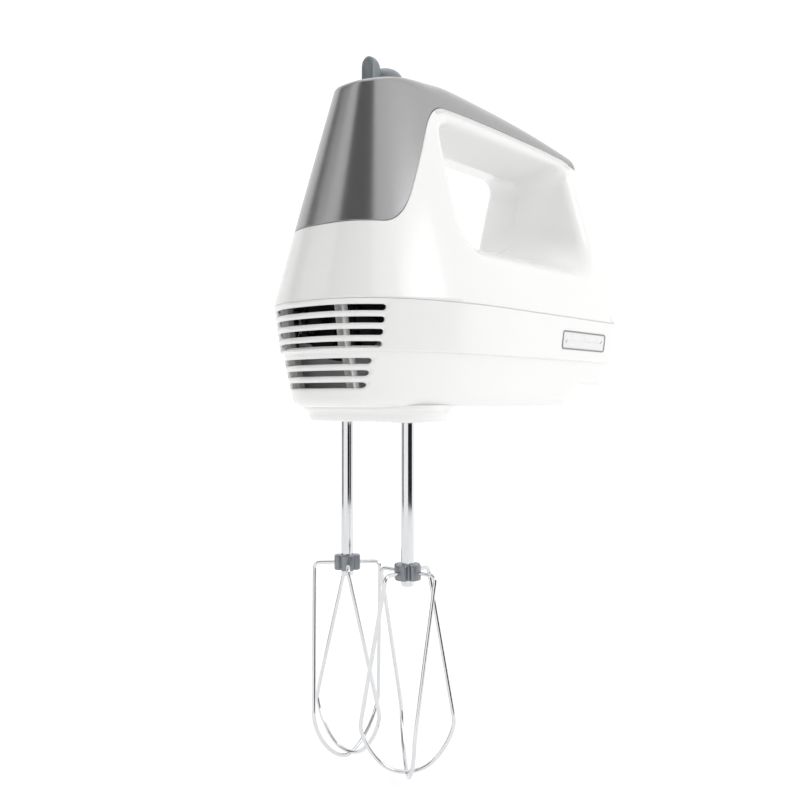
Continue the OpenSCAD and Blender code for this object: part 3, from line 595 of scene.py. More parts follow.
def laminated_steel():
    """Stacked silicon-steel sheets: dark, with a line between sheets. The 0.5 mm sheets are
    drawn 3.2 mm apart, coarse enough to show."""
    material, tree, coordinates = start_material("laminated_silicon_steel")
    wave = add(tree, "ShaderNodeTexWave", (-850, 0), Vector=(coordinates, "Object"),
               Scale=lines_of(3.18), Distortion=0.1)
    tone = add(tree, "ShaderNodeValToRGB", (-500, 100), Fac=(wave, "Fac"))
    tone.color_ramp.elements[0].color = linear("33353a")
    tone.color_ramp.elements[1].color = linear("6d7178")
    bump = add(tree, "ShaderNodeBump", (-300, -300), Height=(wave, "Fac"), Distance=0.1 * MM)
    shader = add(tree, "ShaderNodeBsdfPrincipled", (100, 0), Base_Color=(tone, "Color"),
                 Metallic=1.0, Roughness=0.45, Normal=(bump, "Normal"))
    finish_material(tree, shader)
    return material


def wound_copper():
    """Enamelled copper wire laid side by side: amber, glossy and ribbed. The 0.6 mm wires are
    drawn 3.8 mm apart, coarse enough to show."""
    material, tree, coordinates = start_material("enamelled_copper_winding")
    wave = add(tree, "ShaderNodeTexWave", (-850, 0), Vector=(coordinates, "Object"),
               Scale=lines_of(3.77), Distortion=0.4)
    tone = add(tree, "ShaderNodeValToRGB", (-500, 100), Fac=(wave, "Fac"))
    tone.color_ramp.elements[0].color = linear("4a1d0a")
    tone.color_ramp.elements[1].color = linear("b5622d")
    bump = add(tree, "ShaderNodeBump", (-300, -300), Height=(wave, "Fac"), Distance=0.25 * MM)
    shader = add(tree, "ShaderNodeBsdfPrincipled", (100, 0), Base_Color=(tone, "Color"),
                 Metallic=0.8, Roughness=0.3, Normal=(bump, "Normal"), Coat_Weight=0.6)
    finish_material(tree, shader)
    return material


def studio_white():
    """Matt white studio paper with a faint mottling."""
    material, tree, coordinates = start_material("white_studio_paper")
    noise = add(tree, "ShaderNodeTexNoise", (-850, 0), Vector=(coordinates, "Object"), Scale=3.0)
    tone = add(tree, "ShaderNodeValToRGB", (-500, 0), Fac=(noise, "Fac"))
    tone.color_ramp.elements[0].color = linear("bababa")
    tone.color_ramp.elements[1].color = linear("bcbcbc")
    shader = add(tree, "ShaderNodeBsdfPrincipled", (100, 0), Base_Color=(tone, "Color"),
                 Roughness=0.9, Emission_Color=(1, 1, 1, 1), Emission_Strength=0.55)
    finish_material(tree, shader)
    return material


def satin_grey_abs():
    """Grey ABS from a spark-eroded mould: an even satin with a thin gloss."""
    return moulded_plastic("satin_grey_abs", sizes("finishes").control, 0.3, 0.4, 0.5, 0.015, 0.2)


OWN_MAKERS = {
    "white_abs": white_moulded_abs,
    "grey_cover": metallic_grey_lacquer,
    "grey_control": satin_grey_abs,
    "chrome": bright_chrome,
    "laminations": laminated_steel,
    "copper": wound_copper,
}

# name, colour, lowest and highest roughness, grain and its depth in millimetres, clear coat
PLASTICS = {
    "badge": ("pearl_white_badge", "e6e6e6", 0.25, 0.32, 0.4, 0.006, 0.3),
    "badge_frame": ("printed_grey_line", "85878a", 0.3, 0.4, 0.4, 0.004),
    "dark_frame": ("glass_filled_nylon", "6e6f71", 0.5, 0.65, 0.4, 0.05),
    # a paler copy of the glass-filled nylon: painted light that makes up for the light the gear
    # case lacks inside the body
    "painted_light_nylon": ("pale_glass_filled_nylon", "b9babb", 0.5, 0.65, 0.4, 0.05),
    "black_fan": ("black_nylon", "0d0d0e", 0.35, 0.5, 0.5, 0.03),
    "white_acetal": ("natural_acetal", "ece8dc", 0.35, 0.45, 0.6, 0.02),
    "carbon": ("pressed_carbon", "161616", 0.5, 0.7, 0.3, 0.04),
    "board": ("solder_masked_epoxy", "14532d", 0.25, 0.35, 0.5, 0.02, 0.5),
    "component": ("moulded_component", "1b1b1d", 0.4, 0.5, 0.5, 0.02),
    "black_flag": ("black_felt", "0c0c0c", 0.9, 1.0, 0.8, 0.1),
    "grey_flag": ("grey_felt", "4c4c4c", 0.9, 1.0, 0.8, 0.1),
}

# name, colour, lowest and highest roughness, stretch of the pattern, its size and its depth
METALS = {
    "steel": ("zinc_plated_steel", "b9bcc0", 0.25, 0.4),
    "black_steel": ("black_oxide_steel", "2b2c2e", 0.4, 0.55),
    "collar_steel": ("sintered_steel", "8b8e93", 0.32, 0.45, (1, 1, 1), 0.35, 0.03),
    "bronze": ("sintered_bronze", "b0895a", 0.4, 0.5, (1, 1, 1), 0.3, 0.03),
    "brass": ("drawn_brass", "d3b36a", 0.25, 0.35, (0.1, 1, 1)),
    "spring_steel": ("spring_steel_wire", "c2c4c7", 0.2, 0.3),
}

MATERIALS = {}


def finish(name):
    """The named material, made once."""
    if name not in MATERIALS:
        if name in OWN_MAKERS:
            MATERIALS[name] = OWN_MAKERS[name]()
        elif name in PLASTICS:
            label, hex_colour, *rest = PLASTICS[name]
            MATERIALS[name] = moulded_plastic(label, linear(hex_colour), *rest)
        else:
            MATERIALS[name] = metal(*METALS[name])
    return MATERIALS[name]


# ---------------------------------------------------------------- upper housing

FRONT_X = 3.0
BACK_X = REAR_X - 10.0
CORNER_STEPS = 16
EDGE_STEPS = (34, 14, 34, 14)


def opening_corners(y, grow=0.0):
    """Centres and radii of the opening's four corners at each y, from 0 at the waist. The opening
    flares from a crease at its waist, a little faster further out."""
    share = y / OPEN_SIDE
    flare = share * (0.7 + 0.3 * share)
    x0 = OPEN_X0 - OPEN_FRONT_FLARE * flare - grow
    x1 = OPEN_X1 + OPEN_REAR_FLARE * flare + grow
    z0 = DECK_Z - OPEN_FLOOR_FALL * flare - grow
    z1 = GRIP_Z + OPEN_ROOF_RISE * flare + grow
    r = [14 + 0 * y, 22 + 0 * y, 8 + 0 * y, 10 + 0 * y]
    x = [x0 + r[0], x1 - r[1] - 2, x1 - r[2], x0 + r[3]]
    z = [z0 + r[0], z0 + r[1], z1 - r[2], z1 - r[3]]
    return x, z, r


def opening_loop_shares():
    """The loop's points: which corner, the angle on it, and the share of the way from that
    corner's end to the next one's start."""
    corner, angle, way = [], [], []
    for k in range(4):
        first = 180 + 90 * k
        corner += [k] * (CORNER_STEPS + EDGE_STEPS[k])
        angle += list(np.linspace(first, first + 90, CORNER_STEPS + 1))
        angle += [first + 90] * (EDGE_STEPS[k] - 1)
        way += [0] * (CORNER_STEPS + 1) + list(np.arange(1, EDGE_STEPS[k]) / EDGE_STEPS[k])
    return np.array(corner), np.radians(angle), np.array(way)


LOOP = opening_loop_shares()


def opening_point(y, grow=0.0):
    """x and z of the loop's points, each at its own y."""
    corner, angle, way = LOOP
    xs, zs, rs = opening_corners(y, grow)
    x, z = 0 * y, 0 * y
    for k in range(4):
        m = (k + 1) % 4
        start = angle[(corner == m) & (way == 0)][0]
        ax, az = xs[k] + rs[k] * np.cos(angle), zs[k] + rs[k] * np.sin(angle)
        bx, bz = xs[m] + rs[m] * np.cos(start), zs[m] + rs[m] * np.sin(start)
        here = corner == k
        x = np.where(here, ax + (bx - ax) * way, x)
        z = np.where(here, az + (bz - az) * way, z)
    return x, z


def side_point(x, z):
    """Points on the near side's skin over side-view positions."""
    return np.stack([x, half_width(x, z), z], axis=-1)


def opening_side_patch():
    """One side's skin round the finger opening and half of the opening's flared wall, as a grid
    of loop by row; and the loop's places on the patch's outer border."""
    y = np.full(len(LOOP[0]), 30.0)
    for _ in range(60):
        x, z = opening_point(y)
        y = half_width(x, z)
    rim = np.stack([x, y, z], axis=-1)
    step = np.roll(rim, -1, 0) - np.roll(rim, 1, 0)
    out = unit(np.stack([step[:, 2], -step[:, 0]], axis=-1))
    edge_x = np.linspace(FRONT_X - 4, BACK_X, 400)
    to_edge = np.hypot(x[:, None] - edge_x, z[:, None] - cover_edge(edge_x)).min(axis=1)
    reach = np.minimum(sizes("housing").rim_round, 0.6 * to_edge)
    skin_edge = side_point(x + out[:, 0] * reach, z + out[:, 1] * reach)
    wall_y = y - reach * 1.2
    wx, wz = opening_point(wall_y)
    wall_edge = np.stack([wx, wall_y, wz], axis=-1)

    # border of the patch: rays from the middle of the opening to the unit square of side-view
    # shares, with the nearest ray moved into each corner
    u = (skin_edge[:, 0] - FRONT_X) / (BACK_X - FRONT_X)
    v = (skin_edge[:, 2] - PARTING_Z) / (cover_edge(skin_edge[:, 0]) - PARTING_Z)
    middle = np.array([0.5, 0.62])
    du, dv = u - middle[0], v - middle[1]
    hit = np.minimum(
        np.where(du > 0, (1 - middle[0]) / np.maximum(du, 1e-9), middle[0] / np.maximum(-du, 1e-9)),
        np.where(dv > 0, (1 - middle[1]) / np.maximum(dv, 1e-9), middle[1] / np.maximum(-dv, 1e-9)))
    bu, bv = middle[0] + du * hit, middle[1] + dv * hit
    for cu, cv in ((0, 0), (1, 0), (1, 1), (0, 1)):
        nearest = np.argmin((bu - cu) ** 2 + (bv - cv) ** 2)
        bu[nearest], bv[nearest] = cu, cv

    rows = []
    for t in np.linspace(0, 1, 22)[:-1]:
        uu, vv = bu + (u - bu) * t, bv + (v - bv) * t
        px = FRONT_X + uu * (BACK_X - FRONT_X)
        pz = PARTING_Z + vv * (cover_edge(px) - PARTING_Z)
        rows.append(side_point(px, pz))
    skin = np.stack(rows, axis=1)
    rounding = bezier(skin_edge, rim, wall_edge, np.linspace(0, 1, 13))
    wall_rows = []
    for t in np.linspace(0, 1, 20)[1:]:
        yy = wall_y * (1 - t)
        tx, tz = opening_point(yy)
        wall_rows.append(np.stack([tx, yy, tz], axis=-1))
    grid = np.concatenate([skin, rounding, np.stack(wall_rows, axis=1)], axis=1)
    grid = np.concatenate([grid, grid[:1]])
    front = np.unique(np.round(bv[np.abs(bu) < 1e-9], 9))
    back = np.unique(np.round(bv[np.abs(bu - 1) < 1e-9], 9))
    return grid, front, back


def wall_patch(columns, shares):
    """Upper wall from the parting line up to the cover's edge over the given columns."""
    top = seam_height(columns)
    rows = []
    for v in shares:
        z = PARTING_Z + v * (top - PARTING_Z)
        x, y = upper_column(columns, z)
        rows.append(np.stack([x, y, z], axis=-1))
    return np.stack(rows, axis=1)


def shrink_borders(grid, gap):
    """Moves points on the parting line and on the cover's edge back from the seam."""
    z = grid[..., 2]
    at_parting = np.abs(z - PARTING_Z) < 1e-6
    at_cover = np.abs(z - cover_edge(grid[..., 0])) < 2e-3
    out = grid.copy()
    out[..., 2] = z + np.where(at_parting, gap, 0) - np.where(at_cover, gap, 0)
    return out


def build_upper_housing():
    """White upper housing: nose wall, sides round the finger opening, and rear wall."""
    side, front, back = opening_side_patch()
    gap = sizes("housing").seam_gap
    nose = wall_patch(column_set(nose=60, x_end=FRONT_X), front)
    back_share = (BACK_X - NOSE_CX) / (REAR_X - TAIL_R - NOSE_CX)
    rear = wall_patch(column_set(side=3, corner=14, back=14, side_from=back_share), back)
    mirror = np.array([1, -1, 1])
    grids = [both_sides(nose), side, side * mirror, rear, rear * mirror]
    grids = [shrink_borders(g, gap) for g in grids]
    piece = make_mesh("upper_housing_skin", grids, merge=0.02, angle=25)
    outward_at(piece, np.array([NOSE_TIP, 0, PARTING_Z + 5]))
    thicken(piece, sizes("housing").wall - 0.2)
    return place(piece, "housing", "white_abs", "upper_housing")


def outward_at(piece, point):
    """Reverses the mesh if the face nearest to a point on the outside faces the body's centre."""
    work = bmesh.new()
    work.from_mesh(piece.data)
    point = Vector(point * MM)
    nearest = min(work.faces, key=lambda f: (f.calc_center_median() - point).length_squared)
    centre = Vector(BODY_CENTRE * MM)
    if nearest.normal.dot(nearest.calc_center_median() - centre) < 0:
        bmesh.ops.reverse_faces(work, faces=work.faces)
        work.to_mesh(piece.data)
    work.free()


# ---------------------------------------------------------------- cover


def dome_rows(columns, wall_point, start, corner, top_height, spine, radius, rows):
    """Rows that carry a wall over a rounded edge and on to the centre line. The edge is a
    Bezier from the wall, over the corner, to the top surface; the rest runs straight in plan
    to the spine on the top surface."""
    cx, cy = wall_point(columns, corner)
    inward = np.stack([spine - cx, -cy], axis=-1)
    distance = np.linalg.norm(inward, axis=-1)
    reach = np.minimum(radius, distance * 0.7)
    inward = inward / np.maximum(distance, 1e-9)[:, None]
    ix, iy = cx + inward[:, 0] * reach, cy + inward[:, 1] * reach
    sx, sy = wall_point(columns, start)
    a = np.stack([sx, sy, start], axis=-1)
    b = np.stack([cx, cy, top_height(cx, cy)], axis=-1)
    c = np.stack([ix, iy, top_height(ix, iy)], axis=-1)
    edge = bezier(a, b, c, np.linspace(0, 1, 13))
    t = np.linspace(0, 1, rows + 1)[1:]
    px = ix[:, None] + (spine - ix)[:, None] * t
    py = iy[:, None] * (1 - t)
    top = np.stack([px, py, top_height(px, py)], axis=-1)
    return np.concatenate([edge, top], axis=1)


def cover_top(x, y):
    """Height of the cover's top: the crest with a slight crown across."""
    return crest(x) - 0.003 * y**2


LEVER_X = 6.0
LEVER_ROUND, LEVER_REACH, LEVER_SECTOR = 9.3, 13.4, 54.0
BOOST_X = (BOOST_LOW[0] + BOOST_HIGH[0]) / 2
BOOST_CUT, BOOST_RING = 5.8, 6.1


def lever_window(x, y, grow):
    """True inside the lever's opening: a round with a sector ahead of it."""
    dx = x - LEVER_X
    square = dx**2 + y**2
    angle = np.degrees(np.abs(np.arctan2(y, -dx)))
    sector = (square < (LEVER_REACH + grow) ** 2) & (angle < LEVER_SECTOR) & (dx < 0)
    return (square < (LEVER_ROUND + grow) ** 2) | sector


def build_cover():
    """Grey cover over the nose's front and the top of the handle."""
    housing = sizes("housing")
    columns = column_set(nose=150, side=110, corner=16, back=14)
    foot = seam_height(columns)
    x_low, _ = upper_column(columns, foot)
    spine = np.clip(x_low * 0.96, -4.0, REAR_X - 14)
    corner = foot + 5
    for _ in range(60):
        x, y = upper_column(columns, corner)
        corner = cover_top(x, y)
    x_corner, _ = upper_column(columns, corner)
    rounder = smooth((x_corner + 12) / 34)
    radius = housing.front_round + (housing.top_round - housing.front_round) * rounder
    radius = np.minimum(radius, 0.85 * (corner - foot))
    start = corner - radius
    rows = []
    for v in [-1, *np.linspace(0, 1, 30)[:-1]]:
        z = foot if v < 0 else foot + 0.6 + (start - foot - 0.6) * v
        x, y = upper_column(columns, z)
        rows.append(np.stack([x, y, z], axis=-1))
    wall = np.stack(rows, axis=1)
    dome = dome_rows(columns, upper_column, start, corner, cover_top, spine, radius, 34)
    grid = lip(np.concatenate([wall, dome], axis=1))
    grid = both_sides(grid)
    middle = (grid[:-1, :-1] + grid[1:, 1:]) / 2
    window = lever_window(middle[..., 0], middle[..., 1], 0.1)
    button = (middle[..., 0] - BOOST_X) ** 2 + middle[..., 1] ** 2 < BOOST_CUT**2
    keep = ~((window | button) & (middle[..., 2] > SEAM_Z + 3))
    piece = make_mesh("handle_cover_skin", [(grid, keep)], face_point=(40, 0, 120), angle=35)
    thicken(piece, 1.8)
    place(piece, "housing", "grey_cover", "handle_cover")
    for name, path, tube_radius in (
        ("lever_bezel", lever_window_outline(), 0.6),
        ("boost_bezel", ring_outline(BOOST_X, BOOST_RING), 0.6),
    ):
        x, y = path[:, 0], path[:, 1]
        line = np.stack([x, y, cover_top_true(x, y)], axis=-1)
        tube = sweep(line, tube_radius, 12)[1:-1]
        place(make_mesh(name, [tube], angle=60), "housing", "grey_cover")
    return piece


def cover_top_true(x, y):
    """Height of the finished cover near its centre line, with the rounded edge counted."""
    inset = np.abs(y)
    width = half_width(x, cover_top(x, y))
    into = np.clip(inset - (width - 11), 0, 11)
    return cover_top(x, y) - 0.36 * into**2 / 11 + 0.05


def ring_outline(cx, radius, steps=72):
    """A closed circle in plan."""
    a = np.linspace(0, 2 * math.pi, steps + 1)
    return np.stack([cx + radius * np.cos(a), radius * np.sin(a)], axis=-1)


def lever_window_outline():
    """Closed outline of the lever's opening in plan: the rear round and the front sector."""
    side = 180 - LEVER_SECTOR
    a = np.radians(np.linspace(-side, side, 60))
    rear = np.stack([LEVER_X + LEVER_ROUND * np.cos(a), LEVER_ROUND * np.sin(a)], axis=-1)
    b = np.radians(np.linspace(side, 360 - side, 40))
    front = np.stack([LEVER_X + LEVER_REACH * np.cos(b), LEVER_REACH * np.sin(b)], axis=-1)
    return np.concatenate([rear, front, rear[:1]])


# ---------------------------------------------------------------- lower housing


def bottom_height(x):
    """Height of the underside: flat, then the ramp and the flat of the bowl rest."""
    return FOOT_Z + (NOTCH_Z - FOOT_Z) * np.clip((x - NOTCH_X0) / (NOTCH_X1 - NOTCH_X0), 0, 1)


SLOT_COLUMNS = 8
NOSE_COLUMNS = 46
BELLY_TOP = STEP_Z - 1.6
STEP_ROWS = np.array([0.9, 0.6, 0.4, 0.25, 0.1, -0.05, -0.2, -0.35, -0.5, -0.7, -1.0, -1.6])


def slot_centres():
    """Heights of the vent slots' centre lines: four above the step and three below."""
    pitch = sizes("housing").slot_pitch
    above = [PARTING_Z - 3.8 - i * pitch for i in range(4)]
    return above + [STEP_Z - 4.1 - i * pitch for i in range(3)]


def lower_columns():
    """Lower columns from nose tip to rear centre, as a kind and a share of it. Kinds: 0 nose up
    to the slots' round ends, 1 the round ends, 2 the rest of the nose, 3 side, 4 corner, 5 rear."""
    counts = (NOSE_COLUMNS, SLOT_COLUMNS, 22, 70, 14, 14)
    kind = np.concatenate([np.full(n, k) for k, n in enumerate(counts)] + [[5]])
    share = np.concatenate([np.arange(n) / n for n in counts] + [[1]])
    return kind, share


def lower_column(columns, z):
    """x and half width of lower columns at heights z."""
    kind, share = columns
    housing = sizes("housing")
    radius = housing.slot_height / 2
    x_end = NOSE_TIP + housing.slot_run - 1.2 * smooth((STEP_Z + 1.2 - z) / 2.4)
    inset = lower_inset(z)
    first = nose_angle(x_end - radius, z, inset)
    x_round = x_end - radius + radius * np.sin(share * math.pi / 2)
    last = nose_angle(x_end, z, inset)
    angle = np.select(
        [kind == 0, kind == 1, kind == 2],
        [first * share, nose_angle(x_round, z, inset), last + (math.pi / 2 - last) * share],
        math.pi / 2)
    side = np.where(kind == 3, share, np.where(kind > 3, 1.0, 0.0))
    corner = np.where(kind == 4, share, np.where(kind > 4, 1.0, 0.0))
    back = np.where(kind == 5, share, 0.0)
    return outline(angle, side, corner, back, z, inset, REAR_X - inset)


def build_lower_housing():
    """White lower housing: vented band, step, belly, bowl-rest notch and bottom."""
    housing = sizes("housing")
    columns = lower_columns()
    kind, share = columns
    radius = housing.slot_height / 2
    round_drop = np.where(kind == 0, 1.0, np.where(kind == 1, np.cos(share * math.pi / 2), 0.0))
    beyond = np.where(kind >= 2, np.clip((share + (kind - 2)) * 3, 0, 1), 0.0)
    slot_half = radius * np.maximum(round_drop, beyond)
    rows, slot_rows = [np.full(len(kind), PARTING_Z)], []
    rows.append(rows[0] - 0.8)
    centres = slot_centres()
    for i, centre in enumerate(centres):
        slot_rows.append(len(rows))
        rows.append(centre + slot_half)
        rows.append(centre - slot_half)
        after = centre - housing.slot_pitch / 2
        rows += [np.full(len(kind), z) for z in (STEP_Z + STEP_ROWS if i == 3 else [after])]
    base = FOOT_Z + housing.belly_round
    rows.append(rows[-1] - 0.3)
    x_wall, _ = lower_column(columns, np.full(len(kind), base))
    lift = bottom_height(x_wall)
    notch_share = np.clip((lift - FOOT_Z) / (NOTCH_Z - FOOT_Z), 0, 1)
    belly = housing.belly_round - 2.2 * notch_share
    squeeze = (BELLY_TOP - (lift + belly)) / (BELLY_TOP - base)
    grid_rows = []
    for z in rows:
        z = np.where(z < BELLY_TOP, BELLY_TOP - (BELLY_TOP - z) * squeeze, z)
        x, y = lower_column(columns, z)
        grid_rows.append(np.stack([x, y, z], axis=-1))
    wall = np.stack(grid_rows, axis=1)
    spine = np.clip(x_wall, NOSE_TIP + 34, REAR_X - 18)
    dome = dome_rows(columns, lower_column, lift + belly, lift,
                     lambda x, y: bottom_height(x), spine, belly, 16)
    grid = np.concatenate([wall, dome], axis=1)
    cut = lip(grid)
    shift = cut.shape[1] - grid.shape[1]
    keep = np.ones((grid.shape[0] - 1, cut.shape[1] - 1), bool)
    last_open = NOSE_COLUMNS + SLOT_COLUMNS
    for row in slot_rows:
        keep[:last_open, row + shift] = False
    full = both_sides(cut)
    keep = np.concatenate([keep[::-1], keep])
    piece = make_mesh("lower_housing_skin", [(full, keep)], face_point=(50, 0, 30), angle=35)
    thicken(piece, housing.wall - 0.2)
    return place(piece, "housing", "white_abs", "lower_housing")


STEM_D = NEAR_STEM_HIGH[0] - NEAR_STEM_LOW[0]
NEAR_Y = (NEAR_STEM_LOW[1] + NEAR_STEM_HIGH[1]) / 2
FAR_Y = (FAR_STEM_LOW[1] + FAR_STEM_HIGH[1]) / 2
PLATFORM_R = 17.5
PLATFORM_SIDE = 36.6


def stadium(offset, steps=48):
    """Plan outline of the platform round both beaters, offset outwards: two half rounds and
    the straight sides between."""
    a = np.radians(np.linspace(0, 180, steps))
    radius = PLATFORM_R + offset
    far = np.stack([radius * np.cos(a), -NEAR_Y + radius * np.sin(a)], axis=-1)
    near = np.stack([-radius * np.cos(a), NEAR_Y - radius * np.sin(a)], axis=-1)
    return np.concatenate([far, near, far[:1]])


def build_platform():
    """Raised platform under the nose, with a soft lower edge and a lip round each spindle. It is
    a stadium at each row of a profile, held inside the flat of the underside."""
    profile = round_profile([(-6, FOOT_Z + 0.8), (2.6, FOOT_Z + 0.8), (2.4, FOOT_Z - 1.2),
                             (0.3, FOOT_Z - 2.4), (-0.2, 1.2), (-1.0, 0.0), (-5.0, 0.0)], 1.5, 6)
    rows = []
    for offset, z in [*profile, (0.1 - PLATFORM_R, 0.0)]:
        x, y = stadium(offset).T
        side = PLATFORM_SIDE + 0.1 * offset
        rows.append(np.column_stack([x, np.clip(y, -side, side), np.full(len(x), z)]))
    grid = np.stack(rows, axis=1)
    platform = make_mesh("beater_platform", [grid], face_point=(0, 0, 8), angle=50)
    place(platform, "housing", "white_abs")
    for name, y in (("near", NEAR_Y), ("far", FAR_Y)):
        ring = revolve(round_profile([(7.4, 0.3), (7.2, -0.5), (5.0, -0.5), (4.8, 1.5)], 0.3),
                       72, (0, y, 0))
        place(make_mesh(f"spindle_lip_{name}", [ring], angle=50), "housing", "white_abs")


RIB_Y = 16.0


def build_nose_ribs():
    """Two upright ribs behind the vent slots: one section with clipped corners, carried up the
    inside of the wall."""
    section = ((0.0, -2.0), (3.4, -2.0), (3.8, -1.6), (3.8, 1.6), (3.4, 2.0), (0.0, 2.0))
    z = np.linspace(FOOT_Z + 4, PARTING_Z - 0.6, 24)
    inset = lower_inset(z) + 1.2
    n = exponent(z)
    front = NOSE_CX - (NOSE_A - inset) * (1 - (RIB_Y / (SIDE_Y - inset)) ** n) ** (1 / n)
    for name, y in (("near", -RIB_Y), ("far", RIB_Y)):
        grid = np.stack([
            np.stack([front + dx, np.full(len(z), y + dy), z], axis=-1) for dx, dy in section])
        place(make_mesh(f"nose_rib_{name}", [grid], angle=40), "housing", "white_abs")


def build_badge():
    """Blank badge: a thin pearl-grey plate inside a raised rounded frame."""
    cx, cz = (BADGE_LOW[0] + BADGE_HIGH[0]) / 2, (BADGE_LOW[2] + BADGE_HIGH[2]) / 2
    length, height = BADGE_HIGH[0] - BADGE_LOW[0], BADGE_HIGH[2] - BADGE_LOW[2]
    tilt = math.atan(BAND_RATE)

    def on_side(u, v, out):
        """Points on the near wall's lean, raised outwards."""
        x = cx + u
        z = cz + v * math.cos(tilt) - out * math.sin(tilt)
        y = -(SIDE_Y - BAND_RATE * (PARTING_Z - z)) - out
        return np.stack([x, y, z], axis=-1)

    def rounded(wide, tall, r, steps=10):
        """Closed rounded rectangle: a quarter round at each corner."""
        corners = []
        for k, (sx, sz) in enumerate(((1, 1), (-1, 1), (-1, -1), (1, -1))):
            a = np.radians(np.linspace(90 * k, 90 * k + 90, steps))
            u, v = sx * (wide / 2 - r) + r * np.cos(a), sz * (tall / 2 - r) + r * np.sin(a)
            corners.append(np.stack([u, v], axis=-1))
        loop = np.concatenate(corners)
        return np.concatenate([loop, loop[:1]])

    def frame_rows(profile):
        """A rounded rectangle for each row of inset and height over the wall."""
        rows = []
        for inset, out in profile:
            loop = rounded(length - 2 * inset, height - 2 * inset, max(1.8 - inset, 0.5))
            rows.append(on_side(loop[:, 0], loop[:, 1], np.full(len(loop), out)))
        return np.stack(rows, axis=1)

    frame_profile = round_profile([(0.0, -0.1), (0.05, 0.32), (0.75, 0.32), (0.8, -0.1)], 0.12, 3)
    place(make_mesh("badge_frame", [frame_rows(frame_profile)], angle=60), "housing", "badge",
          material=finish("badge_frame"))
    plate_profile = [(0.7, 0.04), (0.9, 0.08), (2.4, 0.1), (height / 2 - 0.05, 0.1)]
    plate = frame_rows(plate_profile)
    place(make_mesh("badge_face", [plate], angle=60), "housing", "badge", "badge_plate")


# ---------------------------------------------------------------- controls


def build_lever():
    """Speed lever: a low dome on a skirt, an upright finger tab with a hollowed front, and a
    shield of revolution that hides the opening below it. The tab is one arch-shaped loop,
    scaled about its centre at each step from front to back."""
    hub = (LEVER_HIGH[1] - LEVER_LOW[1]) / 2
    dome_top = LEVER_HIGH[2] - 2.7
    skirt = CREST_Z - 12.1
    arc = np.linspace(0, math.pi / 2, 18)
    height = dome_top - (CREST_Z - 3.4)
    dome = np.stack([hub * np.cos(arc) ** 0.9, CREST_Z - 3.4 + height * np.sin(arc)], axis=-1)
    dome[-1, 0] = 0
    profile = np.concatenate([[(0, skirt), (hub - 0.4, skirt), (hub, skirt + 0.4)], dome])
    knob = revolve(profile, 96, (LEVER_X, 0, 0))

    top, foot = LEVER_HIGH[2], CREST_Z - 8.0
    front, back, half = LEVER_LOW[0], LEVER_LOW[0] + 4.7, 3.5
    a = np.linspace(0, math.pi, 41)
    leg = np.linspace(foot, top - half - 0.6, 12)
    ys = np.concatenate([np.full(12, half), half * np.cos(a)[1:-1], np.full(12, -half),
                         np.linspace(-half, half, 10)[1:]])
    zs = np.concatenate([leg, top - half - 0.6 + (half + 0.6) * np.sin(a)[1:-1], leg[::-1],
                         np.full(9, foot)])
    shape = np.stack([ys, zs], axis=-1)
    centre = np.array([0.0, top - half - 4.0])
    rows = []
    hollow = ((1.2, 0.0), (1.1, 0.4), (0.75, 0.68), (0.2, 0.8), (0.02, 0.84), (0, 0.88),
              (0.2, 0.95), (0.7, 1.0), (1.6, 1.0))
    crown = ((-2.2, 1.0), (-1.7, 0.97), (-1.3, 0.88), (-0.9, 0.7), (-0.7, 0.4), (-0.6, 0.0))
    for x, scale in [(front + dx, k) for dx, k in hollow] + [(back + dx, k) for dx, k in crown]:
        loop = centre + (shape - centre) * scale
        slope = 0.42 * (top - loop[:, 1]) * (x > front + 1.7)
        rows.append(np.stack([x + slope, loop[:, 0], loop[:, 1]], axis=-1))
    tab = np.stack(rows, axis=1)
    turn = np.radians(np.linspace(92, 268, 53))
    r, a = np.meshgrid(np.linspace(7, 14.6, 9), turn, indexing="ij")
    x, y = LEVER_X + r * np.cos(a), r * np.sin(a)
    under = cover_top(LEVER_X - r, 0) - 2.7
    shield = make_mesh("speed_lever_shield", [np.stack([x, y, under], axis=-1)], angle=60)
    place(thicken(shield, 0.8), "speed_lever", "grey_control")
    piece = make_mesh("speed_lever_knob", [knob], face_point=(LEVER_X, 0, CREST_Z), angle=50)
    place(piece, "speed_lever", "grey_control", "speed_lever")
    inside = ((front + back) / 2, 0, top - 6)
    finger = make_mesh("speed_lever_tab", [tab], face_point=inside, angle=70)
    return place(finger, "speed_lever", "grey_control")


def build_boost_button():
    """Boost button: a low crowned disc with a soft edge."""
    top, foot = BOOST_HIGH[2], BOOST_LOW[2]
    profile = round_profile([(0, foot), (2, foot), (2, foot + 4.0), (5.5, foot + 4.2),
                             (5.5, top - 0.3), (3.5, top), (0, top + 0.05)], 0.6, 4)
    return place(make_mesh("boost_cap", [revolve(profile, 72, (BOOST_X, 0, 0))], angle=50),
                 "boost_button", "grey_control", "boost_button")


# ---------------------------------------------------------------- beaters

COLLAR_Z = (NEAR_COLLAR_LOW[2] + NEAR_COLLAR_HIGH[2]) / 2
COLLAR_H = NEAR_COLLAR_HIGH[2] - NEAR_COLLAR_LOW[2]
COLLAR_R = (NEAR_COLLAR_HIGH[0] - NEAR_COLLAR_LOW[0]) / 2
TIP_Z = WHISK_LOW[2]


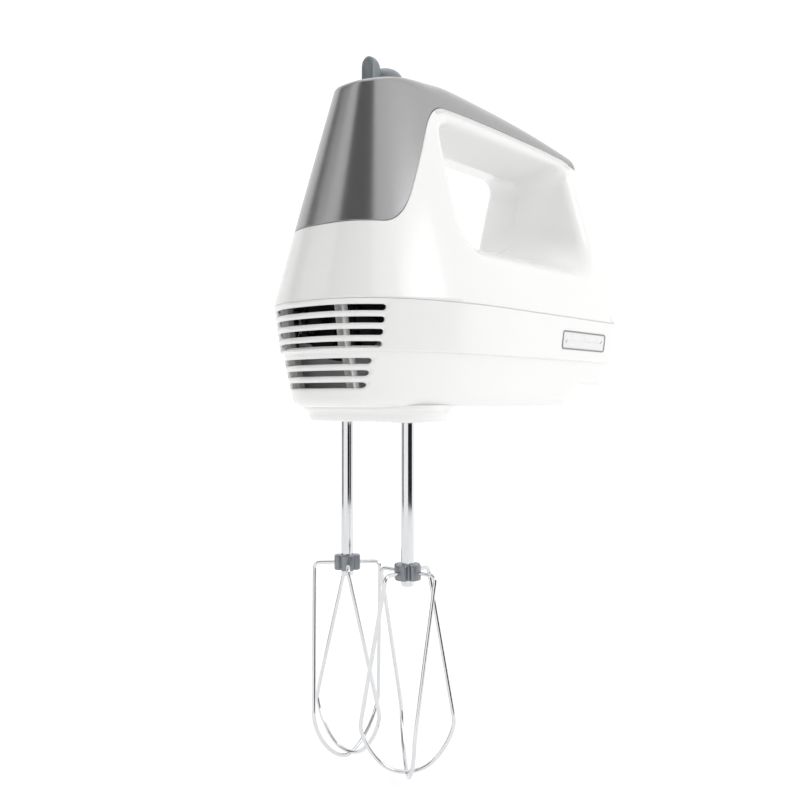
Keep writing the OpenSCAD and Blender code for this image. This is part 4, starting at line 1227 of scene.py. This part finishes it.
def half_whisk(hand, rise):
    """Half a whisk loop as radius, turn in degrees and height: the arm, its bend, a straight leg
    that turns by the leg's turn, and a superelliptic bow that ends on the axis."""
    beater = sizes("beater")
    bend, arm = beater.bend, beater.arm_radius
    corner_z = TIP_Z + beater.corner_rise
    f = np.linspace(0, math.pi / 2, 9)
    r = [np.array([COLLAR_R - 1.2, COLLAR_R, arm - bend]), arm - bend + bend * np.sin(f[1:])]
    z = [np.full(3, COLLAR_Z), COLLAR_Z - bend + bend * np.cos(f[1:])]
    turn = [np.zeros(3), np.zeros(8)]
    t = np.linspace(0, 1, 25)[1:]
    target = math.radians(beater.leg_turn)
    lx = arm + (beater.corner_radius * math.cos(target) - arm) * t
    ly = beater.corner_radius * math.sin(target) * t
    r.append(np.hypot(lx, ly))
    turn.append(hand * np.degrees(np.arctan2(ly, lx)))
    z.append(COLLAR_Z - bend + (corner_z - COLLAR_Z + bend) * t)
    g = np.linspace(0, math.pi / 2, 49)[1:]
    depth = corner_z - TIP_Z - beater.wire / 2
    r.append(beater.corner_radius * np.clip(np.cos(g), 0, 1) ** (2 / 1.6))
    turn.append(np.full(48, hand * beater.leg_turn))
    hump = rise * smooth((g / (math.pi / 2) - 0.55) / 0.45)
    z.append(corner_z - depth * np.sin(g) ** (2 / 1.6) + hump)
    return np.concatenate(r), np.concatenate(turn), np.concatenate(z)


def whisk_path(hand, first, rise):
    """Whole loop: a half, and the same half turned by 180 degrees and run back up."""
    r, turn, z = half_whisk(hand, rise)
    a = np.radians(turn + first)
    half = np.stack([r * np.cos(a), r * np.sin(a), z], axis=-1)
    half = soften(half)
    back = half[-2::-1] * np.array([-1, -1, 1])
    return np.concatenate([half, back])


def soften(path):
    """Rounds the corner between leg and bow by averaging neighbours a few times."""
    path = path.copy()
    for _ in range(6):
        path[20:-4] = (path[19:-5] + 2 * path[20:-4] + path[21:-3]) / 4
    return path


def build_beater(side, y, hand, first):
    """One beater: turned stem, four-lobed collar and two crossed wire loops."""
    beater = sizes("beater")
    low, high = node_box(f"beater_{side}_stem")
    r = STEM_D / 2
    stem = round_profile([(0, low[2]), (r - 0.5, low[2]), (r, low[2] + 0.7), (r, high[2] - 8),
                          (r - 0.5, high[2] - 7.8), (r - 0.5, high[2] - 6.2), (r, high[2] - 6),
                          (r, high[2] - 1), (r - 0.8, high[2]), (0, high[2])], 0.25, 3)
    body = f"beater_{side}"
    place(make_mesh(f"{side}_stem_turned", [revolve(stem, 64, (0, y, 0))], angle=40),
          body, "chrome", f"beater_{side}_stem")
    a = np.linspace(0, 2 * math.pi, 193)
    lobe = np.abs(np.cos(2 * a)) ** 0.55
    outer = 4.3 + (COLLAR_R - 4.3) * np.clip((lobe - 0.42) / 0.36, 0, 1)
    rows = []
    for scale, dz in ((0.45, 0.5), (0.93, 0.5), (0.985, 0.47), (1, 0.4), (1, -0.4), (0.985, -0.47),
                      (0.93, -0.5), (0.45, -0.5)):
        angle = a + math.radians(first)
        rows.append(np.stack([outer * scale * np.cos(angle), y + outer * scale * np.sin(angle),
                              np.full(len(a), COLLAR_Z + COLLAR_H * dz)], axis=-1))
    place(make_mesh(f"{side}_collar_lobed", [np.stack(rows, axis=1)], angle=40),
          body, "collar_steel", f"beater_{side}_collar")
    loops = []
    for turn, rise in ((first, beater.wire + 0.25), (first + 90, 0.0)):
        path = whisk_path(hand, turn, rise) + np.array([0, y, 0])
        loops.append(sweep(path, beater.wire / 2, 14))
    return place(make_mesh(f"{side}_whisk_wires", loops, angle=60),
                 body, "chrome", f"beater_{side}_whisk")


# ---------------------------------------------------------------- studio

CAMERA_SIDE, CAMERA_AWAY, CAMERA_Z = 10.49, 389.8, 9.3
CAMERA_TURN = 50.0
LENS = 871 / 800 * 36


def build_camera():
    """Level camera ahead of the near side, turned 50 degrees from the side view."""
    a = math.radians(CAMERA_TURN)
    forward = np.array([math.sin(a), math.cos(a), 0])
    right = np.array([math.cos(a), -math.sin(a), 0])
    at = (-CAMERA_AWAY * forward + CAMERA_SIDE * right + np.array([0, 0, CAMERA_Z])) * MM
    data = bpy.data.cameras.new("studio_camera")
    data.lens = LENS
    data.sensor_width = 36
    data.clip_start = 0.01
    camera = bpy.data.objects.new("studio_camera", data)
    camera.location = at
    camera.rotation_euler = (math.pi / 2, 0, -a)
    bpy.context.scene.collection.objects.link(camera)
    bpy.context.scene.camera = camera


def area_light(name, at, target, size, power):
    """A rectangular softbox aimed at a point, sizes and places in metres."""
    data = bpy.data.lights.new(name, "AREA")
    data.shape = "RECTANGLE"
    data.size, data.size_y = size
    data.energy = power
    lamp = bpy.data.objects.new(name, data)
    lamp.location = at
    lamp.rotation_euler = (Vector(target) - Vector(at)).to_track_quat("-Z", "Y").to_euler()
    bpy.context.scene.collection.objects.link(lamp)
    return lamp


def build_stage():
    """White paper sweep, two softboxes and the dark cards. The sweep is a flat floor under the
    beaters, a quarter round and an upright wall, turned about the mixer."""
    floor_r, curve_r, wall_top = 1500, 900, 2600
    bend = np.linspace(0, math.pi / 2, 16)[1:]
    reach = np.concatenate([np.linspace(0, floor_r, 12), floor_r + curve_r * np.sin(bend),
                            [floor_r + curve_r]])
    rise = np.concatenate([np.zeros(12), curve_r * (1 - np.cos(bend)), [wall_top]])
    profile = np.stack([reach, TIP_Z - 3.0 + rise], axis=-1)
    bowl = make_mesh("studio_sweep", [revolve(profile, 96, (40, 0, 0))], merge=0.5, angle=80)
    bowl.data.materials.append(studio_white())
    world = bpy.data.worlds.new("studio_world")
    world.use_nodes = True
    studio = sizes("studio")
    background = world.node_tree.nodes["Background"]
    background.inputs["Color"].default_value = (1, 1, 1, 1)
    background.inputs["Strength"].default_value = studio.sky
    bpy.context.scene.world = world
    centre = (0.04, 0, 0.06)
    area_light("key_softbox", (0.3, -1.5, 0.7), centre, (1.0, 0.8), studio.key)
    area_light("top_softbox", (0.2, 0.2, 1.6), centre, (1.0, 1.0), studio.top)
    flag("nose_flag", 190, 42, 37, 21, "grey_flag")
    flag("nose_edge_flag", 117, 34, 8, 24, "grey_flag")
    flag("right_flag", 265, -10, 38, 20)
    flag("left_flag", 131, -10, 15, 20)
    bpy.context.scene.view_settings.view_transform = "Standard"


FLAG_AWAY = 900


def flag(name, azimuth, elevation, half_across, half_up, felt="black_flag"):
    """A dark card that only reflections and soft shade see: a patch of a sphere round the mixer,
    given by its middle's direction and its reach to each side, in degrees."""
    a = np.radians(azimuth + half_across * np.linspace(-1, 1, 25))
    e = np.radians(elevation + half_up * np.linspace(-1, 1, 9))
    a, e = np.meshgrid(a, e, indexing="ij")
    grid = FLAG_AWAY * np.stack([np.cos(e) * np.cos(a), np.cos(e) * np.sin(a), np.sin(e)], axis=-1)
    card = make_mesh(name, [grid + np.array([0, 0, 60])], angle=80)
    card.data.materials.append(finish(felt))
    card.visible_camera = False
    card.visible_shadow = False


# the gear case takes the paler nylon, which is painted light for the shade behind the vent slots;
# the screws take black oxide
NODE_FINISHES = {"gear_case": "painted_light_nylon", "housing_screws": "black_steel"}


def dress_cad_nodes():
    """Gives every CAD node the finish of its slot, or the one of its own."""
    slots = {s["node"]: s["material_slot"] for s in frame["record"]["subparts"]}
    for name, obj in frame["nodes"].items():
        material = finish(NODE_FINISHES.get(name, slots[name]))
        obj.data.materials.clear()
        obj.data.materials.append(material)


# ---------------------------------------------------------------- operators and panel


class MixerOperator:
    """Shared options of the operators."""

    bl_options = {"REGISTER", "UNDO"}


class MIXER_OT_upper_housing(MixerOperator, bpy.types.Operator):
    """Make the white upper housing with its finger opening"""

    bl_idname = "mixer.upper_housing"
    bl_label = "Upper housing"

    def execute(self, context):
        build_upper_housing()
        return {"FINISHED"}


class MIXER_OT_cover(MixerOperator, bpy.types.Operator):
    """Make the grey cover and its bezels"""

    bl_idname = "mixer.cover"
    bl_label = "Grey cover"

    def execute(self, context):
        build_cover()
        return {"FINISHED"}


class MIXER_OT_lower_housing(MixerOperator, bpy.types.Operator):
    """Make the vented lower housing, its platform, ribs and badge"""

    bl_idname = "mixer.lower_housing"
    bl_label = "Lower housing"

    def execute(self, context):
        build_lower_housing()
        build_platform()
        build_nose_ribs()
        build_badge()
        return {"FINISHED"}


class MIXER_OT_controls(MixerOperator, bpy.types.Operator):
    """Make the speed lever and the boost button"""

    bl_idname = "mixer.controls"
    bl_label = "Controls"

    def execute(self, context):
        build_lever()
        build_boost_button()
        return {"FINISHED"}


class MIXER_OT_beaters(MixerOperator, bpy.types.Operator):
    """Make both beaters"""

    bl_idname = "mixer.beaters"
    bl_label = "Beaters"

    def execute(self, context):
        build_beater("near", NEAR_Y, -1, 0)
        build_beater("far", FAR_Y, 1, 45)
        return {"FINISHED"}


class MIXER_OT_finishes(MixerOperator, bpy.types.Operator):
    """Give the inner pieces their finishes"""

    bl_idname = "mixer.finishes"
    bl_label = "Inner finishes"

    def execute(self, context):
        dress_cad_nodes()
        return {"FINISHED"}


class MIXER_OT_stage(MixerOperator, bpy.types.Operator):
    """Make the paper sweep, the lights and the camera"""

    bl_idname = "mixer.stage"
    bl_label = "Stage"

    def execute(self, context):
        build_camera()
        build_stage()
        return {"FINISHED"}


OPERATORS = (
    MIXER_OT_stage,
    MIXER_OT_finishes,
    MIXER_OT_upper_housing,
    MIXER_OT_cover,
    MIXER_OT_lower_housing,
    MIXER_OT_controls,
    MIXER_OT_beaters,
)


class MIXER_PT_panel(bpy.types.Panel):
    """Lists the pieces in the 3D view's sidebar"""

    bl_idname = "MIXER_PT_panel"
    bl_label = "Hand Mixer"
    bl_space_type = "VIEW_3D"
    bl_region_type = "UI"
    bl_category = "Mixer"

    def draw(self, context):
        for operator in OPERATORS:
            self.layout.operator(operator.bl_idname)


GROUPS = {"housing": HousingSizes, "beater": BeaterSizes, "finishes": Finishes,
          "studio": StudioSettings}
CLASSES = (*GROUPS.values(), *OPERATORS, MIXER_PT_panel)


def register():
    for cls in CLASSES:
        bpy.utils.register_class(cls)
    for name, group in GROUPS.items():
        setattr(bpy.types.Scene, "mixer_" + name, bpy.props.PointerProperty(type=group))


def unregister():
    for name in GROUPS:
        delattr(bpy.types.Scene, "mixer_" + name)
    for cls in reversed(CLASSES):
        bpy.utils.unregister_class(cls)


def main():
    register()
    for operator in OPERATORS:
        area, name = operator.bl_idname.split(".")
        getattr(getattr(bpy.ops, area), name)()


if __name__ == "__main__":
    main()
